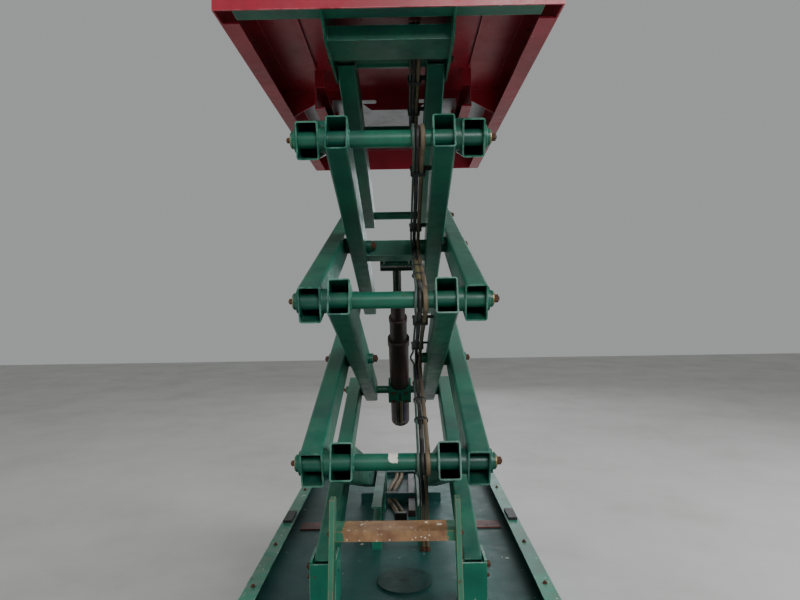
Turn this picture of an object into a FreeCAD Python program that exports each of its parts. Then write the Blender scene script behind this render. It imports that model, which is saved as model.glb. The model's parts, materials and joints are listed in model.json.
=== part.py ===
import math
import os
import re

import FreeCAD
import Part
import Sketcher

# Electric slab scissor lift: four stages of box-section arms between a wheeled chassis
# and a work platform. X is the width, Y the length (the ladder is at -Y), Z is up.
# Lengths are millimetres and the origin is on the floor below the middle of the lift.

SIZES = [
    # the pivots of the scissor stack
    ("rest_angle", 17.3),        # slope of every arm as it stands in the photograph
    ("long_half", 925.0),        # centre pivot to end pivot
    ("short_half", 640.0),       # centre pivot to the chassis
    ("top_half", 515.0),         # centre pivot to the platform
    ("base_pivot_y", -708.0),    # fixed pivots on the chassis
    ("base_pivot_z", 532.0),
    # arms and their shafts
    ("arm_high", 127.0),
    ("arm_wide", 76.0),
    ("arm_wall", 5.0),
    ("arm_overhang", 48.0),      # box section past its end pivots
    ("inner_arm_x", 181.0),
    ("outer_arm_x", 279.0),
    ("near_shaft_radius", 29.0),
    ("far_shaft_radius", 24.0),
    ("centre_pin_radius", 25.0),
    ("shaft_end", 20.0),         # shafts past the outer arms
    ("centre_pin_boss", 24.0),   # centre pin past the inner arm
    ("centre_pin_head", 14.0),   # centre pin past the outer arm
    ("low_pin_head", 4.0),       # both ends of the centre pins beside the tracks
    ("running_gap", 0.1),
    ("open_gap", 1.0),           # play at the pivots where the linkage is opened
    ("washer_thick", 21.0),
    ("washer_rim", 13.0),
    ("boss_thick", 9.0),         # rings on the outer arms round the near shafts
    ("boss_rim", 12.0),
    ("overcut", 1.0),            # a cutting tool past the face that it cuts
    # chassis
    ("chassis_half_width", 585.0),
    ("chassis_near", -1270.0),
    ("chassis_far", 1030.0),
    ("rail_low", 375.0),
    ("rail_top", 465.0),
    ("rail_flange", 60.0),
    ("rail_wall", 6.0),
    ("tray_thick", 5.0),
    ("far_member_top", 420.0),
    ("far_member_flange", 30.0),
    ("panel_top", 440.0),        # cross panel behind the tracks
    ("panel_half", 230.0),
    ("panel_back", 170.0),       # its place before the tracks' far end
    ("panel_thick", 10.0),
    ("lashing_x", 450.0),
    ("lashing_reach", 50.0),
    ("lashing_below", 30.0),
    ("lashing_above", 20.0),
    ("lashing_bore", 14.0),
    ("lashing_thick", 12.0),
    ("lashing_z", 415.0),
    ("lashing_centre", 27.0),
    ("beam_x", 250.0),
    ("beam_wide", 60.0),
    ("beam_low", 218.0),
    ("beam_inset", 40.0),        # chassis ends to the beams' ends
    # housings of the batteries and of the hydraulic unit
    ("housing_near", -680.0),
    ("housing_far", 480.0),
    ("housing_low", 140.0),
    ("housing_inner_x", 285.0),
    ("housing_inset", 7.0),      # side face behind the chassis rail's face
    ("housing_chamfer", 45.0),
    ("housing_neck", 80.0),      # neck behind the chassis rail's face
    ("housing_neck_inset", 60.0),
    ("door_thick", 3.0),
    ("door_margin", 18.0),
    ("door_gap", 8.0),
    ("slot_long", 150.0),        # louvres of the hydraulic unit
    ("slot_high", 7.0),
    ("slot_pitch", 20.0),
    ("slot_count", 4.0),
    # wheels and axles
    ("steer_axle_y", -950.0),
    ("fixed_axle_y", 750.0),
    ("tyre_radius", 178.0),
    ("tyre_width", 115.0),
    ("tyre_shoulder", 14.0),
    ("wheel_x", 522.0),
    ("rim_radius", 118.0),
    ("rim_wall", 9.0),
    ("disc_thick", 10.0),
    ("disc_dish", 12.0),
    ("disc_inner_radius", 74.0),
    ("disc_outer_radius", 92.0),
    ("hub_radius", 45.0),
    ("hub_front", 40.0),
    ("hub_back", 34.0),
    ("hub_bevel", 6.0),
    ("stub_radius", 22.0),
    ("stub_inset", 10.0),
    ("axle_size", 80.0),
    ("kingpin_x", 425.0),
    ("kingpin_radius", 16.0),
    ("knuckle_wall", 14.0),
    ("knuckle_gap", 1.0),
    ("yoke_gap", 62.0),
    ("yoke_plate", 14.0),
    ("yoke_inward", 80.0),
    ("yoke_outward", 26.0),
    ("yoke_back", 18.0),
    # brackets and tracks
    ("plate", 8.0),
    ("bracket_gap", 2.0),
    ("bracket_near", -800.0),
    ("bracket_far", -630.0),
    ("bracket_top", 585.0),
    ("bracket_nose", 30.0),      # corners cut off the cheeks
    ("bracket_face_top", 578.0),
    ("pin_radius", 20.0),
    ("pin_head", 6.0),
    ("roller_radius", 44.0),
    ("roller_wide", 34.0),
    ("roller_gap", 6.0),         # above and below a roller together
    ("roller_side_gap", 3.0),    # roller to the web of its track
    ("track_lip", 2.0),          # flanges past the roller
    ("track_near", -200.0),
    ("track_far", 640.0),
    ("track_wall", 7.0),
    ("track_foot", 40.0),
    ("upper_track_near", -170.0),
    ("upper_track_far", 500.0),
    ("lower_roller_x", 112.0),
    ("upper_roller_x", 346.0),
    # fittings on the tray
    ("cover_x", 22.0),
    ("cover_y", -530.0),
    ("cover_radius", 114.0),
    ("cover_high", 8.0),
    ("strap_near", 50.0),
    ("strap_far", 143.0),
    ("strap_high", 8.0),
    ("strap_gap", 12.0),         # strap to the tracks' feet
    ("clamp_near", -60.0),
    ("clamp_far", 80.0),
    ("clamp_high", 14.0),
    ("clamp_half", 21.0),
    # telescopic lift cylinder
    ("cylinder_angle", 50.3),
    ("head_distance", 964.0),    # collar to crosshead as it stands
    ("barrel_radius", 59.0),
    ("barrel_tail", 290.0),
    ("barrel_top", 440.0),
    ("barrel_wall", 9.0),
    ("sleeve_low_radius", 49.5),
    ("sleeve_low_top", 602.0),
    ("sleeve_low_foot", -85.0),
    ("sleeve_high_radius", 40.5),
    ("sleeve_high_top", 764.0),
    ("sleeve_high_foot", 75.0),
    ("sleeve_wall", 8.5),
    ("gland_high", 45.0),
    ("gland_rim", 5.0),
    ("sleeve_ring_high", 24.0),
    ("sleeve_ring_rim", 3.0),
    ("rod_radius", 22.5),
    ("rod_foot", 235.0),
    ("collar_half_width", 70.0),
    ("collar_half_high", 52.0),
    ("collar_half_deep", 66.0),
    ("collar_corner", 16.0),
    ("trunnion_start", 62.0),
    ("crosshead_half", 87.0),
    ("crosshead_radius", 28.0),
    ("pad_gap", 0.5),
    ("pad_half", 36.0),
    ("pad_thick", 12.0),
    ("pad_half_width", 78.0),
    ("head_beam_size", 80.0),
    ("head_beam_back", 208.0),   # beam centre to crosshead, along the arm
    ("head_arm_distance", 280.0),  # crosshead past the centre pin, along the arm
    ("gusset_inset", 10.0),
    # platform
    ("deck_near", -1050.0),
    ("deck_far", 1330.0),
    ("deck_low", -10.8985),      # both above the platform's pivots
    ("deck_top", 129.1015),
    ("deck_flange", 65.0),
    ("deck_wall", 6.0),
    ("deck_corner", 100.0),      # end of the side channels' lower flanges before the near end
    ("end_channel_half", 520.0),
    ("sheet_thick", 4.0),
    ("sheet_split_y", 120.0),
    ("sheet_gap", 4.0),          # deck sheets to the guardrails' feet
    ("rib_side_deep", 136.0),    # cross member under the split, from the deck down
    ("rib_middle_x", 118.0),
    ("rib_arm_x", 194.0),
    ("rib_track_x", 380.0),
    ("rib_side_x", 539.0),
    ("rib_arm_gap", 6.0),        # over the upper shaft and the swing of the outer arms' ends
    ("rib_slot_x", 132.0),
    ("rib_slot_half", 30.0),
    ("rib_slot_high", 20.0),
    ("rib_slot_deep", 56.0),
    ("seam_x", 362.0),           # fold along the near deck sheet
    ("seam_wide", 8.0),
    ("seam_deep", 14.0),
    ("hanger_drop", 70.0),       # lower edge of the hanger plates below the pivot
    ("hanger_slope", 135.0),
    ("hanger_past", 55.0),       # past the pivot at the lower edge
    ("hanger_past_top", 90.0),
    ("crossbar_near", -907.0),
    ("crossbar_far", -733.0),
    ("crossbar_low", 56.0),      # below the pivot
    ("crossbar_up", 3.0),
    # guardrails
    ("guard_high", 1100.0),
    ("guard_tube", 19.0),        # radius of the guardrail tube
    ("guard_post", 16.0),        # radius of the posts between
    ("guard_mid_tube", 13.0),
    ("guard_bend", 75.0),
    ("guard_mid", 560.0),
    ("guard_bay", 600.0),
    ("guard_second_bay", 1150.0),
    ("panel_clear", 2.0),        # between the panels of the guardrail
    ("toe_high", 150.0),
    ("toe_thick", 4.0),
    ("gate_half", 270.0),
    ("gate_gap", 30.0),          # gate frame to the posts beside it
    ("gate_tube", 15.0),
    ("gate_mid_tube", 11.0),
    ("gate_bend", 60.0),
    ("gate_inset", 19.0),        # gate frame's tube inside half its width
    ("gate_lift", 20.0),
    ("hinge_radius", 7.0),
    ("hinge_sleeve", 12.0),
    ("hinge_high", 40.0),
    ("hinge_low_z", 260.0),
    ("hinge_high_z", 880.0),
    ("hinge_lug", 8.0),
    ("hinge_seat", 1.0),
    # roll-out extension
    ("extension_near", 150.0),
    ("extension_side", 58.0),
    ("extension_lift", 14.0),
    ("extension_thick", 30.0),
    ("extension_bay", 560.0),
    ("extension_corner", 130.0), # last post before the far end
    ("extension_roller_long", 30.0),
    ("extension_roller_gap", 0.3),
    ("extension_roller_start", 100.0),
    ("extension_roller_pitch", 450.0),
    # ladder
    ("ladder_near", -1330.0),
    ("ladder_low", 240.0),
    ("ladder_bend", 470.0),
    ("ladder_top", 943.0),
    ("ladder_lean", 120.0),
    ("stile_deep", 60.0),
    ("stile_thick", 15.0),
    ("stile_nose", 20.0),
    ("ladder_half", 190.0),
    ("step_low_z", 270.0),
    ("step_mid_z", 520.0),
    ("step_top_z", 817.0),
    ("step_deep", 54.0),
    ("step_high", 31.0),
    ("step_wall", 4.0),
    ("step_inset", 3.0),
    ("top_step_back", 26.0),     # front of the top step behind the stiles' front
    ("top_step_deep", 90.0),
    # control box
    ("control_wide", 150.0),
    ("control_near", 220.0),     # from the platform's near end
    ("control_far", 460.0),
    ("control_drop", 170.0),
    ("control_rise", 15.0),
    ("control_face", 70.0),      # drop of the sloping face
    ("control_lid", 60.0),
    ("control_chamfer", 20.0),
    ("control_gap", 0.3),
    # hydraulic hoses along the right inner and outer arms
    ("hose_radius", 8.5),
    ("hose_first_x", 91.5),
    ("hose_pitch", 17.7),
    ("hose_gap", 0.3),           # hoses to the near shafts that they bend round
    ("hose_wrap_centre", 34.0),  # bend beside the centre pins
    ("hose_centre_back", 30.0),  # its centre before the centre pin
    ("hose_turn", 30.0),
    ("hose_stop", 75.0),         # end of the outer arms' hoses before that bend
]

NAMES = {name for name, _ in SIZES}
SIZE = dict(SIZES)

doc = FreeCAD.newDocument("ScissorLift")
sheet = doc.addObject("Spreadsheet::Sheet", "Sizes")
for row, (name, value) in enumerate(SIZES, start=1):
    sheet.set("A%d" % row, name)
    sheet.set("B%d" % row, str(value))
    sheet.setAlias("B%d" % row, name)
doc.recompute()

nodes = {}


def tie(text):
    """An expression in the sheet's aliases, made from one in plain names."""
    return re.sub(r"[a-z][a-z0-9_]*",
                  lambda word: ("Sizes." if word.group(0) in NAMES else "") + word.group(0), str(text))


def bind(item, **values):
    for name, text in values.items():
        item.setExpression(name, tie(text))


def place(item, at, axis=None, angle=None):
    """Put an item at a point, turned about an axis."""
    if axis is not None:
        fixed = isinstance(angle, (int, float))
        turn = FreeCAD.Rotation(FreeCAD.Vector(*axis), angle if fixed else 1.0)
        item.Placement = FreeCAD.Placement(FreeCAD.Vector(), turn)
        if not fixed:
            item.setExpression("Placement.Rotation.Angle", tie(angle))
    for name, text in zip("xyz", at):
        item.setExpression("Placement.Base." + name, tie(text))
    return item


def block(name, x, y, z):
    """A box between two values along each axis."""
    item = doc.addObject("Part::Box", name)
    for size, (low, high) in zip(("Length", "Width", "Height"), (x, y, z)):
        item.setExpression(size, tie("(%s) - (%s)" % (high, low)))
    return place(item, (x[0], y[0], z[0]))


def bar(name, axis, span, centre, radius):
    """A round bar along x, y or z between two values, at a centre in the other two."""
    item = doc.addObject("Part::Cylinder", name)
    bind(item, Radius=radius, Height="(%s) - (%s)" % (span[1], span[0]))
    if axis == "x":
        return place(item, (span[0], centre[0], centre[1]), (0, 1, 0), 90)
    if axis == "y":
        return place(item, (centre[0], span[0], centre[1]), (1, 0, 0), -90)
    return place(item, (centre[0], centre[1], span[0]))


def bend(name, centre, first, second, ring, radius):
    """A quarter of a bent tube, from one direction out of its centre to another."""
    item = doc.addObject("Part::Torus", name)
    bind(item, Radius1=ring, Radius2=radius)
    item.Angle3 = 90
    first, second = FreeCAD.Vector(*first), FreeCAD.Vector(*second)
    turn = FreeCAD.Rotation(first, second, first.cross(second), "XYZ")
    item.Placement = FreeCAD.Placement(FreeCAD.Vector(), turn)
    return place(item, centre)


def fuse(name, pieces):
    item = doc.addObject("Part::MultiFuse", name)
    item.Shapes = pieces
    item.Refine = True
    return item


def group(name, pieces):
    item = doc.addObject("Part::Compound", name)
    item.Links = pieces
    return item


def cut(name, base, tools):
    item = doc.addObject("Part::Cut", name)
    item.Base = base
    item.Tool = tools[0] if len(tools) == 1 else group(name + "_tools", tools)
    item.Refine = True
    return item


def outline(body, plane, name, loops):
    """A sketch of closed loops, with both coordinates of every corner bound to the sheet."""
    sketch = body.newObject("Sketcher::SketchObject", name)
    base = next(item for item in body.Origin.OriginFeatures if item.Role == plane)
    sketch.AttachmentSupport = [(base, "")]
    sketch.MapMode = "FlatFace"
    first = 0
    for corners in loops:
        count = len(corners)
        turns = [2 * math.pi * index / count for index in range(count)]
        start = [FreeCAD.Vector(math.cos(turn), math.sin(turn), 0) * 100 for turn in turns]
        for index in range(count):
            sketch.addGeometry(Part.LineSegment(start[index], start[(index + 1) % count]), False)
        for index in range(count):
            sketch.addConstraint(
                Sketcher.Constraint("Coincident", first + index, 2, first + (index + 1) % count, 1))
        for index, corner in enumerate(corners):
            for kind, text, now in zip(("DistanceX", "DistanceY"), corner, start[index]):
                number = sketch.addConstraint(Sketcher.Constraint(kind, -1, 1, first + index, 1, now))
                sketch.setExpression("Constraints[%d]" % number, tie(text))
        first += count
    return sketch


def pad(name, plane, loops, span):
    """A body padded from loops: in Y and Z along X ("YZ_Plane"), or in X and Z along Y ("XZ_Plane")."""
    body = doc.addObject("PartDesign::Body", name)
    feature = body.newObject("PartDesign::Pad", name + "_pad")
    feature.Profile = outline(body, plane, name + "_outline", loops)
    feature.Reversed = plane == "XZ_Plane"
    bind(feature, Length="(%s) - (%s)" % (span[1], span[0]))
    return place(body, (span[0], "0", "0") if plane == "YZ_Plane" else ("0", span[0], "0"))


def turned(name, loops, centre):
    """A body turned about X through a centre, from loops of places along X and radii."""
    body = doc.addObject("PartDesign::Body", name)
    sketch = outline(body, "XY_Plane", name + "_outline", loops)
    feature = body.newObject("PartDesign::Revolution", name + "_turned")
    feature.Profile = sketch
    feature.ReferenceAxis = (sketch, ["H_Axis"])
    feature.Angle = 360
    return place(body, centre)


def node(name, item):
    """Name an item as a finished piece of the lift."""
    item.Label = name
    nodes[name] = item
    return item


def mirror_span(side, low, high):
    """A span in x on the right (1) or, mirrored, on the left (-1)."""
    return (low, high) if side > 0 else ("-(%s)" % high, "-(%s)" % low)


def signed(side, text):
    return text if side > 0 else "-(%s)" % text


def both(half):
    """A span in x with the same reach on both sides."""
    return "-(%s)" % half, half


def around(centre, half):
    return "%s - %s" % (centre, half), "%s + %s" % (centre, half)


SIDES = (("left", -1), ("right", 1))

# Heights and places of the stack's pivots, from the chassis up. The near ends of stages 2 to 4
# stand nearer the ladder than the fixed pivots, because their halves are longer.
PART_RISE = "(short_half + long_half) * sin(rest_angle)"
FULL_RISE = "2 * long_half * sin(rest_angle)"
TOP_RISE = "(top_half + long_half) * sin(rest_angle)"
NEAR_Y = "(base_pivot_y - (long_half - short_half) * cos(rest_angle))"
FAR_Y = "(base_pivot_y + (short_half + long_half) * cos(rest_angle))"
TOP_PIVOT_Y = "(base_pivot_y + (short_half - top_half) * cos(rest_angle))"
LEVEL_Z = [
    "base_pivot_z",
    "(base_pivot_z + %s)" % PART_RISE,
    "(base_pivot_z + %s + %s)" % (PART_RISE, FULL_RISE),
    "(base_pivot_z + %s + 2 * %s)" % (PART_RISE, FULL_RISE),
    "(base_pivot_z + %s + 2 * %s + %s)" % (PART_RISE, FULL_RISE, TOP_RISE),
]
DECK_LOW = "(%s + deck_low)" % LEVEL_Z[4]
DECK_TOP = "(%s + deck_top)" % LEVEL_Z[4]
INNER_FACE = "(inner_arm_x - arm_wide / 2)"      # faces of the inner and the outer arms
INNER_BACK = "(inner_arm_x + arm_wide / 2)"
OUTER_FACE = "(outer_arm_x - arm_wide / 2)"
OUTER_BACK = "(outer_arm_x + arm_wide / 2)"
SHAFT_REACH = "(outer_arm_x + arm_wide / 2 + shaft_end)"


def runs_along(edge):
    """Whether an edge is straight and runs along Y."""
    return edge.Curve.TypeId == "Part::GeomLine" and abs(edge.tangentAt(edge.FirstParameter).y) > 0.99


def on_corner(point, feature):
    """Whether a point lies on one of the long edges of a section."""
    return any(edge.distToShape(Part.Vertex(point))[0] < 0.001
               for edge in feature.Shape.Edges if runs_along(edge))


def box_section(name, side, centre_x, low, high):
    """One arm's hollow box section along local Y, open at both ends, with rolled corners."""
    def loop(inset):
        half_x, half_z = "(arm_wide / 2 - %s)" % inset, "(arm_high / 2 - %s)" % inset
        centre = signed(side, centre_x)
        return [("%s - %s" % (centre, half_x), "-" + half_z), ("%s + %s" % (centre, half_x), "-" + half_z),
                ("%s + %s" % (centre, half_x), half_z), ("%s - %s" % (centre, half_x), half_z)]

    body = pad(name, "XZ_Plane", [loop("0"), loop("arm_wall")], (low, high))
    doc.recompute()
    straight = body.Tip
    skin = SIZE["arm_high"] / 2 - SIZE["arm_wall"] / 2
    for word, outer, radius in (("outer", True, "2 * arm_wall"), ("inner", False, "arm_wall")):
        edges = ["Edge%d" % number for number, edge in enumerate(body.Tip.Shape.Edges, start=1)
                 if runs_along(edge) and (abs(edge.CenterOfMass.z) > skin) == outer
                 and on_corner(edge.CenterOfMass, straight)]
        corners = body.newObject("PartDesign::Fillet", "%s_%s_corners" % (name, word))
        corners.Base = (corners.BaseFeature, edges)
        bind(corners, Radius=radius)
        doc.recompute()
    return body


def rings(name, at_y, low, thick, radius):
    """Rings on both sides round a shaft of a given radius."""
    return [bar("%s_%s" % (name, word), "x", mirror_span(side, low, "%s + %s" % (low, thick)),
                (at_y, "0"), radius) for word, side in SIDES]


def washers(name, at_y, radius):
    """The spacer rings between the inner and the outer arms on one shaft."""
    low = "(inner_arm_x + outer_arm_x - washer_thick) / 2"
    return rings(name, at_y, low, "washer_thick", radius + " + washer_rim")


def inner_arms(stage, near_half, far_half, extra=None):
    """The inner pair with the shaft through their near ends. Local Y runs from the near pivot."""
    name = "inner_arms_%d" % stage
    length = "(%s + %s)" % (near_half, far_half)
    arms = [box_section("%s_%s" % (name, word), side, "inner_arm_x", "-arm_overhang",
                        length + " + arm_overhang") for word, side in SIDES]
    across = both(INNER_BACK + " + overcut")
    tools = [bar(name + "_centre_bore", "x", across, (near_half, "0"), "centre_pin_radius + running_gap")]
    if stage > 1:
        tools.append(bar(name + "_far_bore", "x", across, (length, "0"), "far_shaft_radius + open_gap"))
    bored = cut(name + "_bored", group(name + "_pair", arms), tools)
    reach = SHAFT_REACH if stage < 4 else INNER_BACK + " + bracket_gap + plate + pin_head"
    pieces = [bored, bar(name + "_shaft", "x", both(reach), ("0", "0"), "near_shaft_radius")]
    if stage < 4:
        pieces += washers(name + "_washer", "0", "near_shaft_radius")
    if stage == 1:
        for word, side in SIDES:
            pieces.append(bar("%s_roller_shaft_%s" % (name, word), "x",
                              mirror_span(side, "lower_roller_x", "inner_arm_x"), (length, "0"),
                              "far_shaft_radius"))
            pieces.append(bar("%s_roller_%s" % (name, word), "x",
                              mirror_span(side, "lower_roller_x - roller_wide / 2",
                                          "lower_roller_x + roller_wide / 2"),
                              (length, "0"), "roller_radius"))
    if extra:
        pieces += extra(name)
    return node(name, place(fuse(name, pieces), ("0", NEAR_Y if stage < 4 else TOP_PIVOT_Y, LEVEL_Z[stage]),
                            (1, 0, 0), "-rest_angle"))


def outer_arms(stage, near_half, far_half):
    """The outer pair: box sections, the shaft through their far ends and the two centre pins."""
    name = "outer_arms_%d" % stage
    length = "(%s + %s)" % (near_half, far_half)
    arms = [box_section("%s_%s" % (name, word), side, "outer_arm_x", "-arm_overhang",
                        length + " + arm_overhang") for word, side in SIDES]
    if stage > 1:
        arms += rings(name + "_boss", "0", OUTER_BACK, "boss_thick", "near_shaft_radius + boss_rim")
    near_radius = "near_shaft_radius + running_gap" if stage > 1 else "pin_radius + running_gap"
    bore = bar(name + "_near_bore", "x", both(OUTER_BACK + " + boss_thick + overcut"), ("0", "0"),
               near_radius)
    bored = cut(name + "_bored", fuse(name + "_pair", arms), [bore])
    reach = SHAFT_REACH if stage < 4 else "upper_roller_x"
    if stage == 1:
        # the cylinder's collar sits between two short shafts
        shafts = [bar("%s_trunnion_%s" % (name, word), "x", mirror_span(side, "trunnion_start", reach),
                      (length, "0"), "far_shaft_radius") for word, side in SIDES]
    else:
        shafts = [bar(name + "_shaft", "x", both(reach), (length, "0"), "far_shaft_radius")]
    pieces = [bored] + shafts
    pieces += washers(name + "_washer", length, "far_shaft_radius")
    pieces += washers(name + "_centre_washer", near_half, "centre_pin_radius")
    boss, head = "centre_pin_boss", "centre_pin_head"
    if stage in (1, 4):
        boss = head = "low_pin_head"
    for word, side in SIDES:
        pieces.append(bar("%s_centre_%s" % (name, word), "x",
                          mirror_span(side, "%s - %s" % (INNER_FACE, boss), "%s + %s" % (OUTER_BACK, head)),
                          (near_half, "0"), "centre_pin_radius"))
        if stage == 4:
            pieces.append(bar("%s_roller_%s" % (name, word), "x",
                              mirror_span(side, "upper_roller_x - roller_wide / 2",
                                          "upper_roller_x + roller_wide / 2"),
                              (length, "0"), "roller_radius"))
    return node(name, place(fuse(name, pieces),
                            ("0", "base_pivot_y" if stage == 1 else NEAR_Y, LEVEL_Z[stage - 1]),
                            (1, 0, 0), "rest_angle"))


# The cross beam of the third inner pair. Its pad stands square to the cylinder, just past the crosshead.
HEAD_Y = "(long_half + head_arm_distance)"
LEAN = "(cylinder_angle - rest_angle)"


def pad_point(past, across):
    """A point in the arm's plane: past the crosshead along the cylinder, and across it."""
    return ("%s - (%s) * cos%s + (%s) * sin%s" % (HEAD_Y, past, LEAN, across, LEAN),
            "(%s) * sin%s + (%s) * cos%s" % (past, LEAN, across, LEAN))


def head_beam(name):
    """The cross beam, the pad that the cylinder's crosshead pushes and two gussets between them."""
    half = "head_beam_size / 2"
    centre = "(%s - head_beam_back)" % HEAD_Y
    beam = block(name + "_beam", both(INNER_FACE), (centre + " - " + half, centre + " + " + half),
                 ("-" + half, half))
    front = "crosshead_radius + pad_gap"
    back = front + " + pad_thick"
    plate = pad(name + "_pad", "YZ_Plane", [[pad_point(front, "-pad_half"), pad_point(front, "pad_half"),
                                            pad_point(back, "pad_half"), pad_point(back, "-pad_half")]],
                both("pad_half_width"))
    inside_pad = front + " + pad_thick / 2"
    inside_beam = "%s + head_beam_size / 4" % centre
    corners = [(inside_beam, "-" + half), pad_point(inside_pad, "-pad_half"),
               pad_point(inside_pad, "pad_half"), (inside_beam, half)]
    gusset_x = ("pad_half_width - plate - gusset_inset", "pad_half_width - gusset_inset")
    gussets = [pad("%s_gusset_%s" % (name, word), "YZ_Plane", [corners], mirror_span(side, *gusset_x))
               for word, side in SIDES]
    return [beam, plate] + gussets


STAGES = (
    # stage, lower half, upper half
    (1, "short_half", "long_half"),
    (2, "long_half", "long_half"),
    (3, "long_half", "long_half"),
    (4, "long_half", "top_half"),
)
for stage, lower, upper in STAGES:
    outer_arms(stage, lower, upper)
    inner_arms(stage, upper, lower, head_beam if stage == 3 else None)


HOSE_WRAP = "(near_shaft_radius + hose_radius + hose_gap)"


def hoses(name, rising, half, at, wrapped):
    """Two hoses between the near shaft and the centre pin, on one arm's body, with the starts of their bends.

    Those of the outer arms start above the shaft (1), those of the inner arms below it (-1).
    """
    reach = "(%s - hose_centre_back)" % half
    share = "((%s + hose_wrap_centre) / %s)" % (HOSE_WRAP, reach)
    flat = "sqrt(1 - %s ^ 2)" % share
    tilt = "asin%s" % share
    pieces = []
    for index in range(2):
        x = "hose_first_x + %d * hose_pitch" % index
        straight = doc.addObject("Part::Cylinder", "%s_straight_%d" % (name, index))
        stop = "hose_stop" if rising > 0 else "0"
        bind(straight, Radius="hose_radius", Height="%s * %s - %s" % (reach, flat, stop))
        place(straight, (x, HOSE_WRAP + " * " + share, signed(rising, HOSE_WRAP + " * " + flat)), (1, 0, 0),
              "-90 deg - " + tilt if rising > 0 else "-90 deg + " + tilt)
        parts = [straight]
        # each bend starts at -Z and turns towards +Y, before it is turned to its tangent
        turns = []
        if wrapped:
            turns.append(("near", HOSE_WRAP, "0",
                          "180 deg - " + tilt if rising > 0 else tilt + " - hose_turn * 1 deg"))
        if rising < 0:
            turns.append(("centre", "hose_wrap_centre", reach, "180 deg + " + tilt + " - hose_turn * 1 deg"))
        for word, ring, centre, start in turns:
            arc = doc.addObject("Part::Torus", "%s_%s_arc_%d" % (name, word, index))
            bind(arc, Radius1=ring, Radius2="hose_radius", Angle3="hose_turn")
            place(arc, ("0", "0", "0"), (0, 1, 0), 90)
            parts.append(place(group("%s_%s_bend_%d" % (name, word, index), [arc]), (x, centre, "0"),
                               (1, 0, 0), start))
        pieces.append(fuse("%s_%d" % (name, index), parts))
    return node(name, place(group(name, pieces), at, (1, 0, 0), signed(rising, "rest_angle")))


for stage, lower, upper in STAGES:
    at = ("0", NEAR_Y if stage < 4 else TOP_PIVOT_Y, LEVEL_Z[stage])
    hoses("hose_inner_%d" % stage, -1, upper, at, stage < 4)
    if stage > 1:
        hoses("hose_outer_%d" % stage, 1, lower, ("0", NEAR_Y, LEVEL_Z[stage - 1]), True)

# Telescopic cylinder. Its local Z runs from the collar on the far shaft of stage 1 to the crosshead.
COLLAR = ("0", FAR_Y, LEVEL_Z[1])


def along_cylinder(name, item):
    return node(name, place(item, COLLAR, (1, 0, 0), "90 - cylinder_angle"))


def tube(name, radius, wall, foot, top, floor="0"):
    """A tube along Z, closed by a floor of a given thickness at its foot."""
    return cut(name, bar(name + "_outside", "z", (foot, top), ("0", "0"), radius),
               [bar(name + "_inside", "z", (foot + " + " + floor, top + " + overcut"), ("0", "0"),
                    radius + " - " + wall)])


def gland(name, radius, wall, top, high, rim):
    """The ring that ends a tube, fused to its outside."""
    low = "%s - %s" % (top, high)
    return cut(name, bar(name + "_outside", "z", (low, top), ("0", "0"), "%s + %s" % (radius, rim)),
               [bar(name + "_inside", "z", (low + " - overcut", top + " + overcut"), ("0", "0"),
                    "%s - %s / 2" % (radius, wall))])


collar_loop = [("-collar_half_deep", "-collar_half_high"),
               ("collar_half_deep - collar_corner", "-collar_half_high"),
               ("collar_half_deep", "collar_corner - collar_half_high"),
               ("collar_half_deep", "collar_half_high - collar_corner"),
               ("collar_half_deep - collar_corner", "collar_half_high"),
               ("-collar_half_deep", "collar_half_high")]
collar_block = pad("collar_block", "YZ_Plane", [collar_loop], both("collar_half_width"))
collar_tools = [bar("collar_barrel_bore", "z", ("-collar_half_high - overcut", "collar_half_high + overcut"),
                    ("0", "0"), "barrel_radius - barrel_wall / 2")]
for word, side in SIDES:
    collar_tools.append(bar("collar_trunnion_" + word, "x",
                            mirror_span(side, "trunnion_start - overcut", "collar_half_width + overcut"),
                            ("0", "0"), "far_shaft_radius + open_gap"))
along_cylinder("cylinder_barrel", fuse("barrel_with_collar", [
    cut("collar", collar_block, collar_tools),
    tube("barrel_tube", "barrel_radius", "barrel_wall", "-barrel_tail", "barrel_top", "barrel_wall"),
    gland("barrel_gland", "barrel_radius", "barrel_wall", "barrel_top", "gland_high", "gland_rim")]))
for word in ("low", "high"):
    radius, foot, top = "sleeve_%s_radius" % word, "sleeve_%s_foot" % word, "sleeve_%s_top" % word
    along_cylinder("cylinder_sleeve_" + word, fuse("sleeve_" + word, [
        tube("sleeve_%s_tube" % word, radius, "sleeve_wall", foot, top),
        gland("sleeve_%s_ring" % word, radius, "sleeve_wall", top, "sleeve_ring_high", "sleeve_ring_rim")]))
along_cylinder("cylinder_rod", fuse("rod_with_crosshead", [
    bar("rod", "z", ("rod_foot", "head_distance"), ("0", "0"), "rod_radius"),
    bar("crosshead", "x", both("crosshead_half"), ("0", "head_distance"), "crosshead_radius")]))


def channel(name, side, x, web, y, z, wall):
    """A channel along Y, whose web is at the inner ("low") or the outer ("high") end of its span in X."""
    web_x = ("%s - %s" % (x[1], wall), x[1]) if web == "high" else (x[0], "%s + %s" % (x[0], wall))
    return fuse(name, [
        block(name + "_web", mirror_span(side, *web_x), y, z),
        block(name + "_upper", mirror_span(side, *x), y, ("%s - %s" % (z[1], wall), z[1])),
        block(name + "_lower", mirror_span(side, *x), y, (z[0], "%s + %s" % (z[0], wall)))])


# Chassis. The side rails are channels that open inwards, and the tray lies on their lower flanges.
RAIL_INNER = "(chassis_half_width - rail_flange)"
TRAY_LOW = "(rail_low + rail_wall)"
TRAY_TOP = "(rail_low + rail_wall + tray_thick)"

node("chassis_rails", group("chassis_rails", [
    channel("rail_" + word, side, (RAIL_INNER, "chassis_half_width"), "high", ("chassis_near", "chassis_far"),
            ("rail_low", "rail_top"), "rail_wall") for word, side in SIDES]))


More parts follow.
